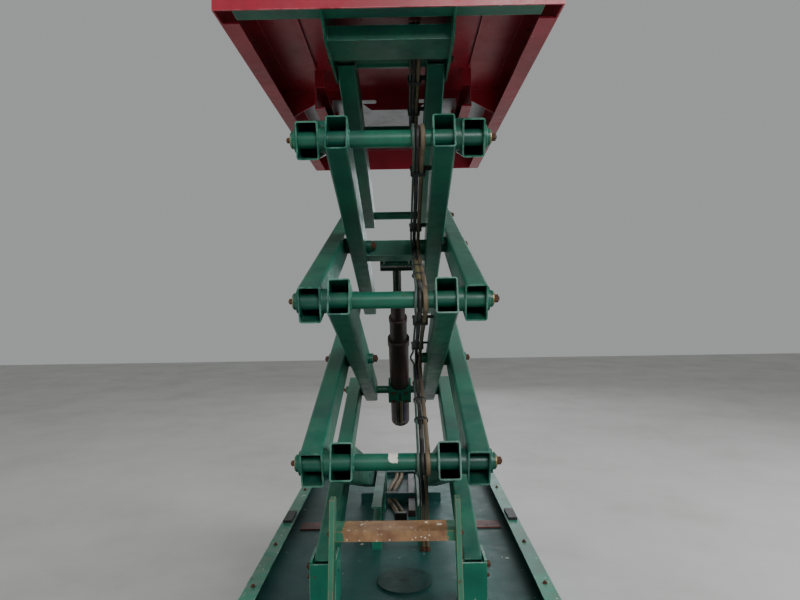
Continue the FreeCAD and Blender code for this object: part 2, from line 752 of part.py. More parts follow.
def lashing_eye(name, side, end, outward):
    """A plate with a bore on an end member, for a shackle."""
    near, far = ("%s - lashing_reach" % end, end) if outward < 0 else (end, "%s + lashing_reach" % end)
    centre = "%s %s lashing_centre" % (end, "-" if outward < 0 else "+")
    plate_x = mirror_span(side, "lashing_x - lashing_thick / 2", "lashing_x + lashing_thick / 2")
    return cut(name, block(name + "_plate", plate_x, (near, far),
                           ("lashing_z - lashing_below", "lashing_z + lashing_above")),
               [bar(name + "_bore", "x", (plate_x[0] + " - overcut", plate_x[1] + " + overcut"),
                    (centre, "lashing_z"), "lashing_bore")])


TRAY_HALF = "(chassis_half_width - rail_wall)"
eyes = [lashing_eye("eye_%s_%s" % (end_word, word), side, end, outward)
        for word, side in SIDES
        for end_word, end, outward in (("near", "chassis_near", -1), ("far", "chassis_far", 1))]
node("chassis_tray", fuse("chassis_tray", eyes + [
    block("tray_floor", both(TRAY_HALF), ("chassis_near", "chassis_far"), (TRAY_LOW, TRAY_TOP)),
    block("near_member", both(RAIL_INNER), ("chassis_near", "chassis_near + rail_wall"),
          (TRAY_TOP, "rail_top")),
    block("near_member_flange", both(RAIL_INNER), ("chassis_near", "chassis_near + rail_flange"),
          ("rail_top - rail_wall", "rail_top")),
    block("far_member", both(RAIL_INNER), ("chassis_far - rail_wall", "chassis_far"),
          (TRAY_TOP, "far_member_top")),
    block("far_member_flange", both(RAIL_INNER), ("chassis_far - far_member_flange", "chassis_far"),
          ("far_member_top - rail_wall", "far_member_top")),
    block("cross_panel", both("panel_half"),
          ("track_far - panel_back", "track_far - panel_back + panel_thick"), (TRAY_TOP, "panel_top"))]))

node("chassis_beams", group("chassis_beams", [
    block("beam_" + word, mirror_span(side, "beam_x - beam_wide / 2", "beam_x + beam_wide / 2"),
          ("chassis_near + beam_inset", "chassis_far - beam_inset"), ("beam_low", TRAY_LOW))
    for word, side in SIDES]))

# The closed housings for the batteries and for the hydraulic unit, hung under the tray between the wheels.
HOUSING_FACE = "(chassis_half_width - housing_inset)"
DOOR_LONG = "((housing_far - housing_near - 2 * door_margin - 2 * door_gap) / 3)"
for name, side, louvred in (("battery_housing", -1, False), ("hydraulic_housing", 1, True)):
    shell = pad(name + "_shell", "XZ_Plane", [[
        (signed(side, "housing_inner_x"), "housing_low"),
        (signed(side, HOUSING_FACE + " - housing_chamfer"), "housing_low"),
        (signed(side, HOUSING_FACE), "housing_low + housing_chamfer"),
        (signed(side, HOUSING_FACE), "rail_low"),
        (signed(side, "housing_inner_x"), "rail_low")]], ("housing_near", "housing_far"))
    neck = block(name + "_neck", mirror_span(side, "housing_inner_x", "chassis_half_width - housing_neck"),
                 ("housing_near + housing_neck_inset", "housing_far - housing_neck_inset"),
                 ("rail_low - tray_thick", TRAY_LOW))
    door_x = mirror_span(side, HOUSING_FACE, HOUSING_FACE + " + door_thick")
    door_z = ("housing_low + housing_chamfer + door_margin", "rail_low - door_margin")
    doors = []
    for index in range(3):
        start = "housing_near + door_margin + %d * (%s + door_gap)" % (index, DOOR_LONG)
        doors.append(block("%s_door_%d" % (name, index), door_x, (start, "%s + %s" % (start, DOOR_LONG)),
                           door_z))
    solid = fuse(name + "_solid", [shell, neck] + doors)
    if louvred:
        middle = "(housing_near + housing_far) / 2"
        slots = [block("%s_louvre_%d" % (name, index),
                       mirror_span(side, HOUSING_FACE, HOUSING_FACE + " + door_thick + overcut"),
                       (middle + " - slot_long / 2", middle + " + slot_long / 2"),
                       ("%s - door_margin - (%d + 1) * slot_pitch" % (door_z[1], index),
                        "%s - door_margin - (%d + 1) * slot_pitch + slot_high" % (door_z[1], index)))
                 for index in range(int(SIZE["slot_count"]))]
        solid = cut(name + "_louvred", solid, slots)
    node(name, solid)

# Fixed pivots of the stack on the chassis: two cheeks and a front face round each outer arm's foot.
FOOT_LOW = "(%s - bracket_gap - plate)" % OUTER_FACE
FOOT_HIGH = "(%s + bracket_gap + plate)" % OUTER_BACK
cheek_loop = [("bracket_near", TRAY_TOP), ("bracket_far", TRAY_TOP),
              ("bracket_far", "bracket_top - bracket_nose"),
              ("bracket_far - bracket_nose", "bracket_top"), ("bracket_near", "bracket_top")]
brackets = []
for word, side in SIDES:
    cheeks = [pad("foot_%s_%s" % (word, part), "YZ_Plane", [cheek_loop], mirror_span(side, low, high))
              for part, low, high in (("inner", FOOT_LOW, FOOT_LOW + " + plate"),
                                      ("outer", FOOT_HIGH + " - plate", FOOT_HIGH))]
    cheeks.append(block("foot_%s_face" % word, mirror_span(side, FOOT_LOW, FOOT_HIGH),
                        ("bracket_near - plate", "bracket_near"), (TRAY_TOP, "bracket_face_top")))
    cheeks.append(bar("foot_%s_pin" % word, "x",
                      mirror_span(side, FOOT_LOW + " - pin_head", FOOT_HIGH + " + pin_head"),
                      ("base_pivot_y", "base_pivot_z"), "pin_radius"))
    brackets.append(fuse("foot_" + word, cheeks))
node("arm_brackets", group("arm_brackets", brackets))


# Tracks for the sliding feet: channels that open towards the arms, on the chassis and under the deck.
def track_heights(level):
    return ("(%s - roller_radius - roller_gap / 2 - track_wall)" % level,
            "(%s + roller_radius + roller_gap / 2 + track_wall)" % level)


def track(name, side, x, web, y, level, legs, leg_z):
    """A track with its feet, evenly spaced along it."""
    pieces = [channel(name + "_channel", side, x, web, y, track_heights(level), "track_wall")]
    for index in range(legs):
        start = "%s + (%s - %s - track_foot) * %d / %d" % (y[0], y[1], y[0], index, legs - 1)
        pieces.append(block("%s_foot_%d" % (name, index), mirror_span(side, *x),
                            (start, start + " + track_foot"), leg_z))
    return fuse(name, pieces)


LOW_TRACK_X = ("(lower_roller_x - roller_wide / 2 - roller_side_gap - track_wall)",
               "(lower_roller_x + roller_wide / 2 + track_lip)")
HIGH_TRACK_X = ("(upper_roller_x - roller_wide / 2 - track_lip)",
                "(upper_roller_x + roller_wide / 2 + roller_side_gap + track_wall)")
node("lower_tracks", group("lower_tracks", [
    track("lower_track_" + word, side, LOW_TRACK_X, "low", ("track_near", "track_far"), LEVEL_Z[0], 4,
          (TRAY_TOP, track_heights(LEVEL_Z[0])[0])) for word, side in SIDES]))
node("upper_tracks", group("upper_tracks", [
    track("upper_track_" + word, side, HIGH_TRACK_X, "high", ("upper_track_near", "upper_track_far"),
          LEVEL_Z[4], 3, (track_heights(LEVEL_Z[4])[1], DECK_TOP)) for word, side in SIDES]))

# Fittings on the tray: the round cover, the flat strap across it, and the clamps on the rails.
strap_y, strap_z = ("strap_near", "strap_far"), (TRAY_TOP, TRAY_TOP + " + strap_high")
fittings = [bar("round_cover", "z", (TRAY_TOP, TRAY_TOP + " + cover_high"), ("cover_x", "cover_y"),
                "cover_radius"),
            block("strap_middle", both(LOW_TRACK_X[0] + " - strap_gap"), strap_y, strap_z)]
for word, side in SIDES:
    strap_x = mirror_span(side, LOW_TRACK_X[1] + " + strap_gap", RAIL_INNER + " - strap_gap")
    clamp_x = mirror_span(side, *around("(chassis_half_width - rail_flange / 2)", "clamp_half"))
    fittings.append(block("strap_" + word, strap_x, strap_y, strap_z))
    fittings.append(block("clamp_" + word, clamp_x, ("clamp_near", "clamp_far"),
                          ("rail_top", "rail_top + clamp_high")))
node("tray_fittings", group("tray_fittings", fittings))

# Ladder: two leaning stiles with three steps, hung on the chassis's near end.
LADDER_SLOPE = "(ladder_lean / (ladder_top - ladder_bend))"
STILE_BACK = "ladder_near + stile_deep"
stile_loop = [("ladder_near", "ladder_low"), (STILE_BACK, "ladder_low"), (STILE_BACK, "ladder_bend"),
              (STILE_BACK + " + ladder_lean - stile_nose * " + LADDER_SLOPE, "ladder_top - stile_nose"),
              (STILE_BACK + " + ladder_lean - stile_nose", "ladder_top"),
              ("ladder_near + ladder_lean", "ladder_top"), ("ladder_near", "ladder_bend")]
ladder_pieces = [pad("stile_" + word, "YZ_Plane", [stile_loop],
                     mirror_span(side, "ladder_half - stile_thick / 2", "ladder_half + stile_thick / 2"))
                 for word, side in SIDES]
STEPS = (
    # name, underside, height over the stiles' bend, front edge behind the stiles' front, depth
    ("low", "step_low_z", "0", "step_inset", "step_deep"),
    ("mid", "step_mid_z", "(step_mid_z + step_high - ladder_bend)", "step_inset", "step_deep"),
    ("top", "step_top_z", "(step_top_z + step_high - ladder_bend)", "top_step_back", "top_step_deep"),
)
for word, low, over, inset, deep in STEPS:
    # each step is a channel with its open side down
    front = "ladder_near + %s + %s * %s" % (inset, over, LADDER_SLOPE)
    back, top = "%s + %s" % (front, deep), low + " + step_high"
    ladder_pieces.append(pad("step_" + word, "YZ_Plane", [[
        (front, low), (front + " + step_wall", low), (front + " + step_wall", top + " - step_wall"),
        (back + " - step_wall", top + " - step_wall"), (back + " - step_wall", low), (back, low),
        (back, top), (front, top)]], both("ladder_half")))
node("ladder", fuse("ladder", ladder_pieces))

# Axles, knuckles and wheels.
FIXED_Y = ("fixed_axle_y - axle_size / 2", "fixed_axle_y + axle_size / 2")
STEER_Y = ("steer_axle_y - axle_size / 2", "steer_axle_y + axle_size / 2")
AXLE_Z = ("tyre_radius - axle_size / 2", "tyre_radius + axle_size / 2")
STUB_END = "(wheel_x + tyre_width / 2 - stub_inset)"
node("axle_fixed", fuse("axle_fixed", [
    block("fixed_beam", both("kingpin_x"), FIXED_Y, AXLE_Z),
    bar("fixed_stubs", "x", both(STUB_END), ("fixed_axle_y", "tyre_radius"), "stub_radius")]))

yokes = [block("steer_beam", both("kingpin_x - yoke_inward + yoke_back"), STEER_Y, AXLE_Z)]
for word, side in SIDES:
    reach = mirror_span(side, "kingpin_x - yoke_inward", "kingpin_x + yoke_outward")
    for part, low, high in (("low", "tyre_radius - yoke_gap - yoke_plate", "tyre_radius - yoke_gap"),
                            ("high", "tyre_radius + yoke_gap", "tyre_radius + yoke_gap + yoke_plate")):
        yokes.append(block("yoke_%s_%s" % (word, part), reach, STEER_Y, (low, high)))
    back_x = mirror_span(side, "kingpin_x - yoke_inward", "kingpin_x - yoke_inward + yoke_back")
    yoke_z = around("tyre_radius", "(yoke_gap + yoke_plate)")
    yokes.append(block("yoke_%s_back" % word, back_x, STEER_Y, yoke_z))
    yokes.append(bar("kingpin_" + word, "z", yoke_z, (signed(side, "kingpin_x"), "steer_axle_y"),
                     "kingpin_radius"))
node("axle_steer", fuse("axle_steer", yokes))

for word, side in SIDES:
    at = (signed(side, "kingpin_x"), "steer_axle_y")
    boss = cut("knuckle_boss_" + word,
               bar("knuckle_boss_outside_" + word, "z",
                   ("tyre_radius - yoke_gap + knuckle_gap", "tyre_radius + yoke_gap - knuckle_gap"), at,
                   "kingpin_radius + knuckle_wall"),
               [bar("knuckle_bore_" + word, "z", ("tyre_radius - yoke_gap", "tyre_radius + yoke_gap"), at,
                    "kingpin_radius + running_gap")])
    stub = bar("knuckle_stub_" + word, "x",
               mirror_span(side, "kingpin_x + kingpin_radius + knuckle_wall / 2", STUB_END),
               ("steer_axle_y", "tyre_radius"), "stub_radius")
    node("knuckle_" + word, fuse("knuckle_" + word, [boss, stub]))

WHEELS = (("steer_left", -1, "steer_axle_y"), ("steer_right", 1, "steer_axle_y"),
          ("fixed_left", -1, "fixed_axle_y"), ("fixed_right", 1, "fixed_axle_y"))
HALF_TYRE = "tyre_width / 2"
TYRE_LOOP = (
    # place along X, outwards, and radius
    ("-" + HALF_TYRE, "rim_radius"), (HALF_TYRE, "rim_radius"),
    (HALF_TYRE, "tyre_radius - tyre_shoulder"),
    (HALF_TYRE + " - tyre_shoulder / 3", "tyre_radius - tyre_shoulder / 3"),
    (HALF_TYRE + " - tyre_shoulder", "tyre_radius"), ("tyre_shoulder - " + HALF_TYRE, "tyre_radius"),
    ("tyre_shoulder / 3 - " + HALF_TYRE, "tyre_radius - tyre_shoulder / 3"),
    ("-" + HALF_TYRE, "tyre_radius - tyre_shoulder"))
RIM_LOOP = (
    ("-hub_back", "stub_radius + running_gap"), ("hub_front", "stub_radius + running_gap"),
    ("hub_front", "hub_radius - hub_bevel"), ("hub_front - hub_bevel", "hub_radius"),
    ("disc_dish", "hub_radius"),
    ("disc_dish", "disc_inner_radius"), ("0", "disc_outer_radius"), ("0", "rim_radius - rim_wall"),
    (HALF_TYRE, "rim_radius - rim_wall"), (HALF_TYRE, "rim_radius"), ("-" + HALF_TYRE, "rim_radius"),
    ("-" + HALF_TYRE, "rim_radius - rim_wall"), ("-disc_thick", "rim_radius - rim_wall"),
    ("-disc_thick", "disc_outer_radius"), ("disc_dish - disc_thick", "disc_inner_radius"),
    ("disc_dish - disc_thick", "hub_radius"), ("-hub_back", "hub_radius"))
for word, side, axle_y in WHEELS:
    centre = (signed(side, "wheel_x"), axle_y, "tyre_radius")
    for part, loop in (("tyre", TYRE_LOOP), ("rim", RIM_LOOP)):
        corners = [(signed(side, along), radius) for along, radius in loop]
        node("%s_%s" % (part, word), turned("%s_%s" % (part, word), [corners], centre))

# Platform frame: side channels, the red end plates, and the cross member under the sheets' split.
DECK_INNER = "(chassis_half_width - deck_flange)"
SPLIT = ("sheet_split_y", "sheet_split_y + deck_wall")
frame_pieces = []
for word, side in SIDES:
    name, x = "deck_side_" + word, mirror_span(side, DECK_INNER, "chassis_half_width")
    frame_pieces += [
        block(name + "_web", mirror_span(side, "chassis_half_width - deck_wall", "chassis_half_width"),
              ("deck_near", "deck_far"), (DECK_LOW, DECK_TOP)),
        block(name + "_upper", x, ("deck_near", "deck_far"), (DECK_TOP + " - deck_wall", DECK_TOP)),
        block(name + "_lower", x, ("deck_near + deck_corner", "deck_far"),
              (DECK_LOW, DECK_LOW + " + deck_wall"))]
for word, low, high in (("near", "deck_near", "deck_near + deck_wall"),
                        ("far", "deck_far - deck_wall", "deck_far")):
    frame_pieces.append(block("deck_end_" + word, both("chassis_half_width"), (low, high),
                              (DECK_LOW, DECK_TOP)))
RIB_MIDDLE = "(%s + far_shaft_radius + rib_arm_gap)" % LEVEL_Z[4]
RIB_SIDE = DECK_TOP + " - rib_side_deep"
RIB_TRACK = "(%s + sqrt(arm_overhang ^ 2 + (arm_high / 2) ^ 2) + rib_arm_gap)" % LEVEL_Z[4]
RIB_END = "(chassis_half_width - deck_wall)"
rib_half = [(RIB_END, DECK_TOP), (RIB_END, RIB_SIDE), ("rib_side_x", RIB_SIDE), ("rib_track_x", RIB_TRACK),
            ("rib_arm_x", RIB_TRACK), ("rib_middle_x", RIB_MIDDLE)]
rib_loop = [("-" + x, z) for x, z in rib_half] + rib_half[::-1]
slot_tools = []
for word, side in SIDES:
    span = mirror_span(side, *around("rib_slot_x", "rib_slot_half"))
    past = ("sheet_split_y - overcut", "sheet_split_y + deck_wall + overcut")
    middle = DECK_TOP + " - rib_slot_deep"
    slot_tools.append(block("rib_slot_" + word, span, past, around(middle, "rib_slot_high / 2")))
    for end, x in zip(("low", "high"), span):
        slot_tools.append(bar("rib_slot_%s_%s" % (word, end), "y", past, (x, middle), "rib_slot_high / 2"))
frame_pieces.append(cut("deck_rib", pad("deck_rib_plate", "XZ_Plane", [rib_loop], SPLIT),
                        [fuse("rib_slots", slot_tools)]))
node("platform_frame", fuse("platform_frame", frame_pieces))

# The sheets lie between the feet of the guardrails.
SHEET_HALF = "(chassis_half_width - 2 * guard_tube - sheet_gap)"
SHEET_Z = (DECK_TOP, DECK_TOP + " + sheet_thick")
seams = [block("seam_" + word, mirror_span(side, *around("seam_x", "seam_wide / 2")),
               ("deck_near + deck_wall + deck_flange", "upper_track_near - track_foot"),
               (DECK_TOP + " - seam_deep", DECK_TOP)) for word, side in SIDES]
node("deck_sheet", fuse("deck_sheet", [
    block("deck_sheet_plate", both(SHEET_HALF), ("deck_near + 2 * guard_tube + sheet_gap", "sheet_split_y"),
          SHEET_Z)] + seams))
node("deck_far_sheet", block("deck_far_sheet", both(SHEET_HALF), ("sheet_split_y", "deck_far"), SHEET_Z))

# The green end channel, and the plates and crossbar that hold the fixed pivots under the deck.
PIVOT_Z = LEVEL_Z[4]
END_Y = ("deck_near + deck_wall", "deck_near + deck_wall + deck_flange")
HANGER_LOW_Z = PIVOT_Z + " - hanger_drop"
HANGER_X = INNER_BACK + " + bracket_gap"
hanger_loop = [(END_Y[0], DECK_LOW), (END_Y[0] + " + hanger_slope", HANGER_LOW_Z),
               (TOP_PIVOT_Y + " + hanger_past", HANGER_LOW_Z),
               (TOP_PIVOT_Y + " + hanger_past_top", DECK_TOP),
               (END_Y[1], DECK_TOP), (END_Y[1], DECK_LOW + " + deck_wall"),
               (END_Y[0], DECK_LOW + " + deck_wall")]
bracket_pieces = [
    block("end_channel_web", both("end_channel_half"), (END_Y[0], END_Y[0] + " + deck_wall"),
          (DECK_LOW, DECK_TOP)),
    block("end_channel_upper", both("end_channel_half"), END_Y, (DECK_TOP + " - deck_wall", DECK_TOP)),
    block("end_channel_lower", both("end_channel_half"), END_Y, (DECK_LOW, DECK_LOW + " + deck_wall")),
    block("crossbar", both(HANGER_X), ("crossbar_near", "crossbar_far"),
          (PIVOT_Z + " - crossbar_low", PIVOT_Z + " - crossbar_up"))]
bracket_pieces += [pad("hanger_" + word, "YZ_Plane", [hanger_loop],
                       mirror_span(side, HANGER_X, HANGER_X + " + plate")) for word, side in SIDES]
node("top_bracket", cut("top_bracket", fuse("top_bracket_solid", bracket_pieces), [
    bar("hanger_bore", "x", both(HANGER_X + " + plate + overcut"), (TOP_PIVOT_Y, PIVOT_Z),
        "near_shaft_radius + running_gap")]))

# Guardrails: bent tubes with posts, a middle rail of thinner tube and a toe board.
FLOOR_Z = "(%s + sheet_thick)" % DECK_TOP
RAIL_TOP = "(%s + sheet_thick + guard_high - guard_tube)" % DECK_TOP
RAIL_MID = "(%s + sheet_thick + guard_mid)" % DECK_TOP
EDGE_X = "(chassis_half_width - guard_tube)"
NEAR_EDGE = "(deck_near + guard_tube)"
FAR_EDGE = "(deck_far - guard_tube)"
AXES = {"x": (1, 0, 0), "y": (0, 1, 0)}


def minus(vector):
    return tuple(-value for value in vector)


def bent_panel(name, axis, span, across, foot, radius, corner, ends=("low", "high")):
    """A top rail along x or y that bends down into a post at the given ends of its span."""
    along = AXES[axis]
    straight = ["%s + %s" % (span[0], corner) if "low" in ends else span[0],
                "%s - %s" % (span[1], corner) if "high" in ends else span[1]]
    pieces = [bar(name + "_top", axis, straight, (across, RAIL_TOP), radius)]
    low = "%s - %s" % (RAIL_TOP, corner)
    for end, at, inner, away in (("low", span[0], straight[0], minus(along)),
                                 ("high", span[1], straight[1], along)):
        if end not in ends:
            continue
        centre, post = ((inner, across), (at, across)) if axis == "x" else ((across, inner), (across, at))
        pieces.append(bend("%s_%s_bend" % (name, end), centre + (low,), away, (0, 0, 1), corner, radius))
        pieces.append(bar("%s_%s_post" % (name, end), "z", (foot, low), post, radius))
    return pieces


def inner_posts(name, places, foot):
    return [bar("%s_post_%d" % (name, index), "z", (foot, RAIL_TOP), at, "guard_post")
            for index, at in enumerate(places)]


for word, side in SIDES:
    x = signed(side, EDGE_X)
    span = (NEAR_EDGE, "deck_far - guard_bay")
    pieces = bent_panel("guard_" + word, "y", span, x, DECK_TOP, "guard_tube", "guard_bend")
    pieces += inner_posts("guard_" + word, [(x, "deck_near + guard_bay"),
                                            (x, "deck_near + guard_second_bay")], DECK_TOP)
    pieces.append(bar("guard_%s_mid" % word, "y", span, (x, RAIL_MID), "guard_mid_tube"))
    pieces.append(block("guard_%s_toe" % word, mirror_span(side, *around(EDGE_X, "toe_thick / 2")), span,
                        (DECK_TOP, DECK_TOP + " + toe_high")))
    node("guardrail_" + word, fuse("guardrail_" + word, pieces))

# two short panels beside the gate, with the gate's hinge pins on the left one
PANEL_X = ("gate_half + gate_gap + guard_tube", "chassis_half_width - 3 * guard_tube - panel_clear")
PANEL_BEND = "min(guard_bend; 0.45 * (%s - (%s)))" % (PANEL_X[1], PANEL_X[0])
near_pieces = []
for word, side in SIDES:
    span = mirror_span(side, *PANEL_X)
    name = "guard_near_" + word
    pieces = bent_panel(name, "x", span, NEAR_EDGE, DECK_TOP, "guard_tube", PANEL_BEND)
    pieces.append(bar(name + "_mid", "x", span, (NEAR_EDGE, RAIL_MID), "guard_mid_tube"))
    pieces.append(block(name + "_toe", span, around(NEAR_EDGE, "toe_thick / 2"),
                        (DECK_TOP, DECK_TOP + " + toe_high")))
    near_pieces.append(pieces)
HINGE_X = "(-gate_half - gate_gap / 2)"
HINGE_LEVELS = (FLOOR_Z + " + hinge_low_z", FLOOR_Z + " + hinge_high_z")
for index, level in enumerate(HINGE_LEVELS):
    near_pieces[0].append(block("hinge_lug_%d" % index,
                                ("-gate_half - gate_gap - guard_tube", HINGE_X + " + hinge_radius"),
                                around(NEAR_EDGE, "hinge_radius"),
                                (level + " - hinge_seat - hinge_lug", level + " - hinge_seat")))
    near_pieces[0].append(bar("hinge_pin_%d" % index, "z",
                              (level + " - hinge_seat - hinge_lug / 2", level + " + hinge_high + hinge_lug"),
                              (HINGE_X, NEAR_EDGE), "hinge_radius"))
node("guardrail_near", group("guardrail_near", [
    fuse("guard_near_panel_" + word, pieces) for (word, _), pieces in zip(SIDES, near_pieces)]))

GATE_SPAN = both("(gate_half - gate_inset)")
GATE_LOW = FLOOR_Z + " + gate_lift"
gate_pieces = bent_panel("gate", "x", GATE_SPAN, NEAR_EDGE, GATE_LOW, "gate_tube", "gate_bend")
for word, level in (("mid", RAIL_MID), ("low", GATE_LOW + " + gate_tube")):
    gate_pieces.append(bar("gate_" + word, "x", GATE_SPAN, (NEAR_EDGE, level), "gate_mid_tube"))
gate_pieces.append(block("gate_toe", GATE_SPAN, around(NEAR_EDGE, "toe_thick / 2"),
                         (GATE_LOW, FLOOR_Z + " + toe_high")))
for index, level in enumerate(HINGE_LEVELS):
    top = level + " + hinge_high"
    gate_pieces.append(cut("hinge_sleeve_%d" % index, fuse("hinge_sleeve_solid_%d" % index, [
        bar("hinge_sleeve_tube_%d" % index, "z", (level, top), (HINGE_X, NEAR_EDGE), "hinge_sleeve"),
        block("hinge_sleeve_lug_%d" % index, (HINGE_X, "-gate_half + gate_inset"),
              around(NEAR_EDGE, "hinge_lug / 2"), (level, top))]),
        [bar("hinge_sleeve_bore_%d" % index, "z", (level + " - overcut", top + " + overcut"),
             (HINGE_X, NEAR_EDGE), "hinge_radius + running_gap")]))
node("gate", fuse("gate", gate_pieces))

# Roll-out extension: a shallow tray that rides just over the deck, with its own three rails.
EXT_X = "(chassis_half_width - extension_side)"
EXT_FLOOR = "(%s + sheet_thick + extension_lift + extension_thick)" % DECK_TOP
RAIL_X = "(chassis_half_width - extension_side - guard_tube)"
EXT_NEAR = "(extension_near + guard_tube)"
rollers = [bar("extension_roller_%s_%d" % (word, index), "x",
               mirror_span(side, EXT_X + " - 2 * extension_roller_long", EXT_X + " - extension_roller_long"),
               ("extension_near + extension_roller_start + %d * extension_roller_pitch" % index,
                FLOOR_Z + " + extension_lift + extension_roller_gap"), "extension_lift")
           for word, side in SIDES for index in range(3)]
extension_tray = block("extension_tray", both(EXT_X), ("extension_near", "deck_far"),
                       (FLOOR_Z + " + extension_lift", EXT_FLOOR))
node("extension_deck", fuse("extension_deck", [extension_tray] + rollers))

EXT_LEVELS = (("top", RAIL_TOP, "guard_tube"), ("mid", RAIL_MID, "guard_mid_tube"))
CORNER_X = RAIL_X + " - guard_bend"
CORNER_Y = FAR_EDGE + " - guard_bend"
EXT_TOE_Z = (EXT_FLOOR, EXT_FLOOR + " + toe_high")
rail_pieces = []
ext_places = []
for word, side in SIDES:
    x = signed(side, RAIL_X)
    name = "extension_" + word
    rail_pieces += bent_panel(name, "y", (EXT_NEAR, CORNER_Y), x, EXT_FLOOR, "guard_tube", "guard_bend",
                              ("low",))
    rail_pieces.append(bar(name + "_mid", "y", (EXT_NEAR, CORNER_Y), (x, RAIL_MID), "guard_mid_tube"))
    rail_pieces.append(block(name + "_toe", mirror_span(side, *around(RAIL_X, "toe_thick / 2")),
                             (EXT_NEAR, FAR_EDGE), EXT_TOE_Z))
    for level_word, level, radius in EXT_LEVELS:
        corner = (signed(side, CORNER_X), CORNER_Y, level)
        rail_pieces.append(bend("%s_%s_corner" % (name, level_word), corner, (side, 0, 0), (0, 1, 0),
                                "guard_bend", radius))
    ext_places += [(x, "extension_near + extension_bay"), (x, "deck_far - extension_corner")]
for level_word, level, radius in EXT_LEVELS:
    rail_pieces.append(bar("extension_far_" + level_word, "x", both(CORNER_X), (FAR_EDGE, level), radius))
rail_pieces.append(block("extension_far_toe", both(RAIL_X + " + toe_thick / 2"),
                         around(FAR_EDGE, "toe_thick / 2"), EXT_TOE_Z))
rail_pieces += inner_posts("extension", ext_places, EXT_FLOOR)
node("extension_guardrail", fuse("extension_guardrail", rail_pieces))

# The platform's control box hangs on the right side's rails, with its sloping face inwards.
BOX_OUT = "(chassis_half_width - 2 * guard_tube - control_gap)"
BOX_IN = "(chassis_half_width - 2 * guard_tube - control_wide)"
BOX_LOW, BOX_HIGH = "(%s - control_drop)" % RAIL_TOP, "(%s + control_rise)" % RAIL_TOP
node("control_box", pad("control_box", "XZ_Plane", [[
    (BOX_OUT, BOX_LOW), (BOX_OUT, BOX_HIGH), (BOX_OUT + " - control_lid", BOX_HIGH),
    (BOX_IN, BOX_HIGH + " - control_face"), (BOX_IN, BOX_LOW + " + control_chamfer"),
    (BOX_IN + " + control_chamfer", BOX_LOW)]], ("deck_near + control_near", "deck_near + control_far")))

doc.recompute()
faults = [item.Label for item in doc.Objects if set(item.State) & {"Invalid", "Error"}]
if faults:
    raise RuntimeError("failed objects: " + ", ".join(faults))
os.makedirs("parts", exist_ok=True)
total = 0.0
for name, item in nodes.items():
    shape = item.Shape
    if shape.isNull() or not shape.isValid() or not shape.Solids:
        raise RuntimeError("bad shape: " + name)
    total += shape.Volume
    shape.exportStep("parts/%s.step" % name)
print(len(nodes), "pieces,", round(total / 1e9, 4), "cubic metres of solid")
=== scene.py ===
"""Looks of an electric slab scissor lift: finishes, fittings, hoses, studio and camera."""
from __future__ import annotations

import json
import logging
import math
import random
from collections.abc import Iterable
from dataclasses import dataclass
from enum import Enum

import bmesh
import bpy
from mathutils import Matrix, Vector

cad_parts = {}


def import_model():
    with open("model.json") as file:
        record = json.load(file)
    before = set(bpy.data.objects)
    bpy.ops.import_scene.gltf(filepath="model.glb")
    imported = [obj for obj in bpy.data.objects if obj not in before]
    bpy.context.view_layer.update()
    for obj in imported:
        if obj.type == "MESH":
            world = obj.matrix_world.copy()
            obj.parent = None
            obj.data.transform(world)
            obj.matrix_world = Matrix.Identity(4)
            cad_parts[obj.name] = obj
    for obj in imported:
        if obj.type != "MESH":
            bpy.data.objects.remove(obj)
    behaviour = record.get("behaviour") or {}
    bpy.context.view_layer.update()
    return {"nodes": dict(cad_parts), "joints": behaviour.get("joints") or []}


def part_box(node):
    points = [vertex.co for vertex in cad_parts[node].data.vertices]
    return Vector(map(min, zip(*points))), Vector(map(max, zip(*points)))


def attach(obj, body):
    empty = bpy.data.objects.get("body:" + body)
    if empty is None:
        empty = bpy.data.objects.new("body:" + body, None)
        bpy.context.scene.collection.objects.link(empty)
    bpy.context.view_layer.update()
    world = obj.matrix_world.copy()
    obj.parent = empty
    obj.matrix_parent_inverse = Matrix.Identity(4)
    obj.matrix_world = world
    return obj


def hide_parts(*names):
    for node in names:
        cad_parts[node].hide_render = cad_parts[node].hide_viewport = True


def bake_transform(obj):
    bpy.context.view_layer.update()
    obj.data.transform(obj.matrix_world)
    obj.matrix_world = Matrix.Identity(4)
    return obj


LOG = logging.getLogger("scissor_lift")
MM = 0.001
ACROSS = Vector((1.0, 0.0, 0.0))
ALONG = Vector((0.0, 1.0, 0.0))
UP = Vector((0.0, 0.0, 1.0))
SIDES = (("left", -1), ("right", 1))

Tree = bpy.types.NodeTree
Socket = bpy.types.NodeSocket
Triple = tuple[float, float, float]


def at_mm(x: float, y: float, z: float) -> Vector:
    """A place or a shift that is given in millimetres."""
    return Vector((x, y, z)) * MM


def linear(hex_colour: str) -> tuple[float, float, float, float]:
    """Turn an sRGB hex colour to a linear one.

    Args:
        hex_colour: six hex digits.

    Returns:
        Red, green, blue and alpha for a shader socket.
    """
    channels = [int(hex_colour[index:index + 2], 16) / 255 for index in (0, 2, 4)]
    red, green, blue = (value / 12.92 if value <= 0.04045 else ((value + 0.055) / 1.055) ** 2.4
                        for value in channels)
    return (red, green, blue, 1.0)


def add(tree: Tree, kind: str, inputs: dict | None = None, **settings) -> bpy.types.Node:
    """Add a node with its settings and links.

    Args:
        tree: the node tree to add to.
        kind: the node's type name without its leading words.
        inputs: for each input's name or index, a value or the socket that feeds it.
        settings: properties of the node itself.

    Returns:
        The new node.
    """
    node = tree.nodes.new("ShaderNode" + kind)
    for name, value in settings.items():
        setattr(node, name, value)
    for name, value in (inputs or {}).items():
        socket = node.inputs[name]
        if isinstance(value, Socket):
            tree.links.new(value, socket)
        else:
            socket.default_value = value
    return node


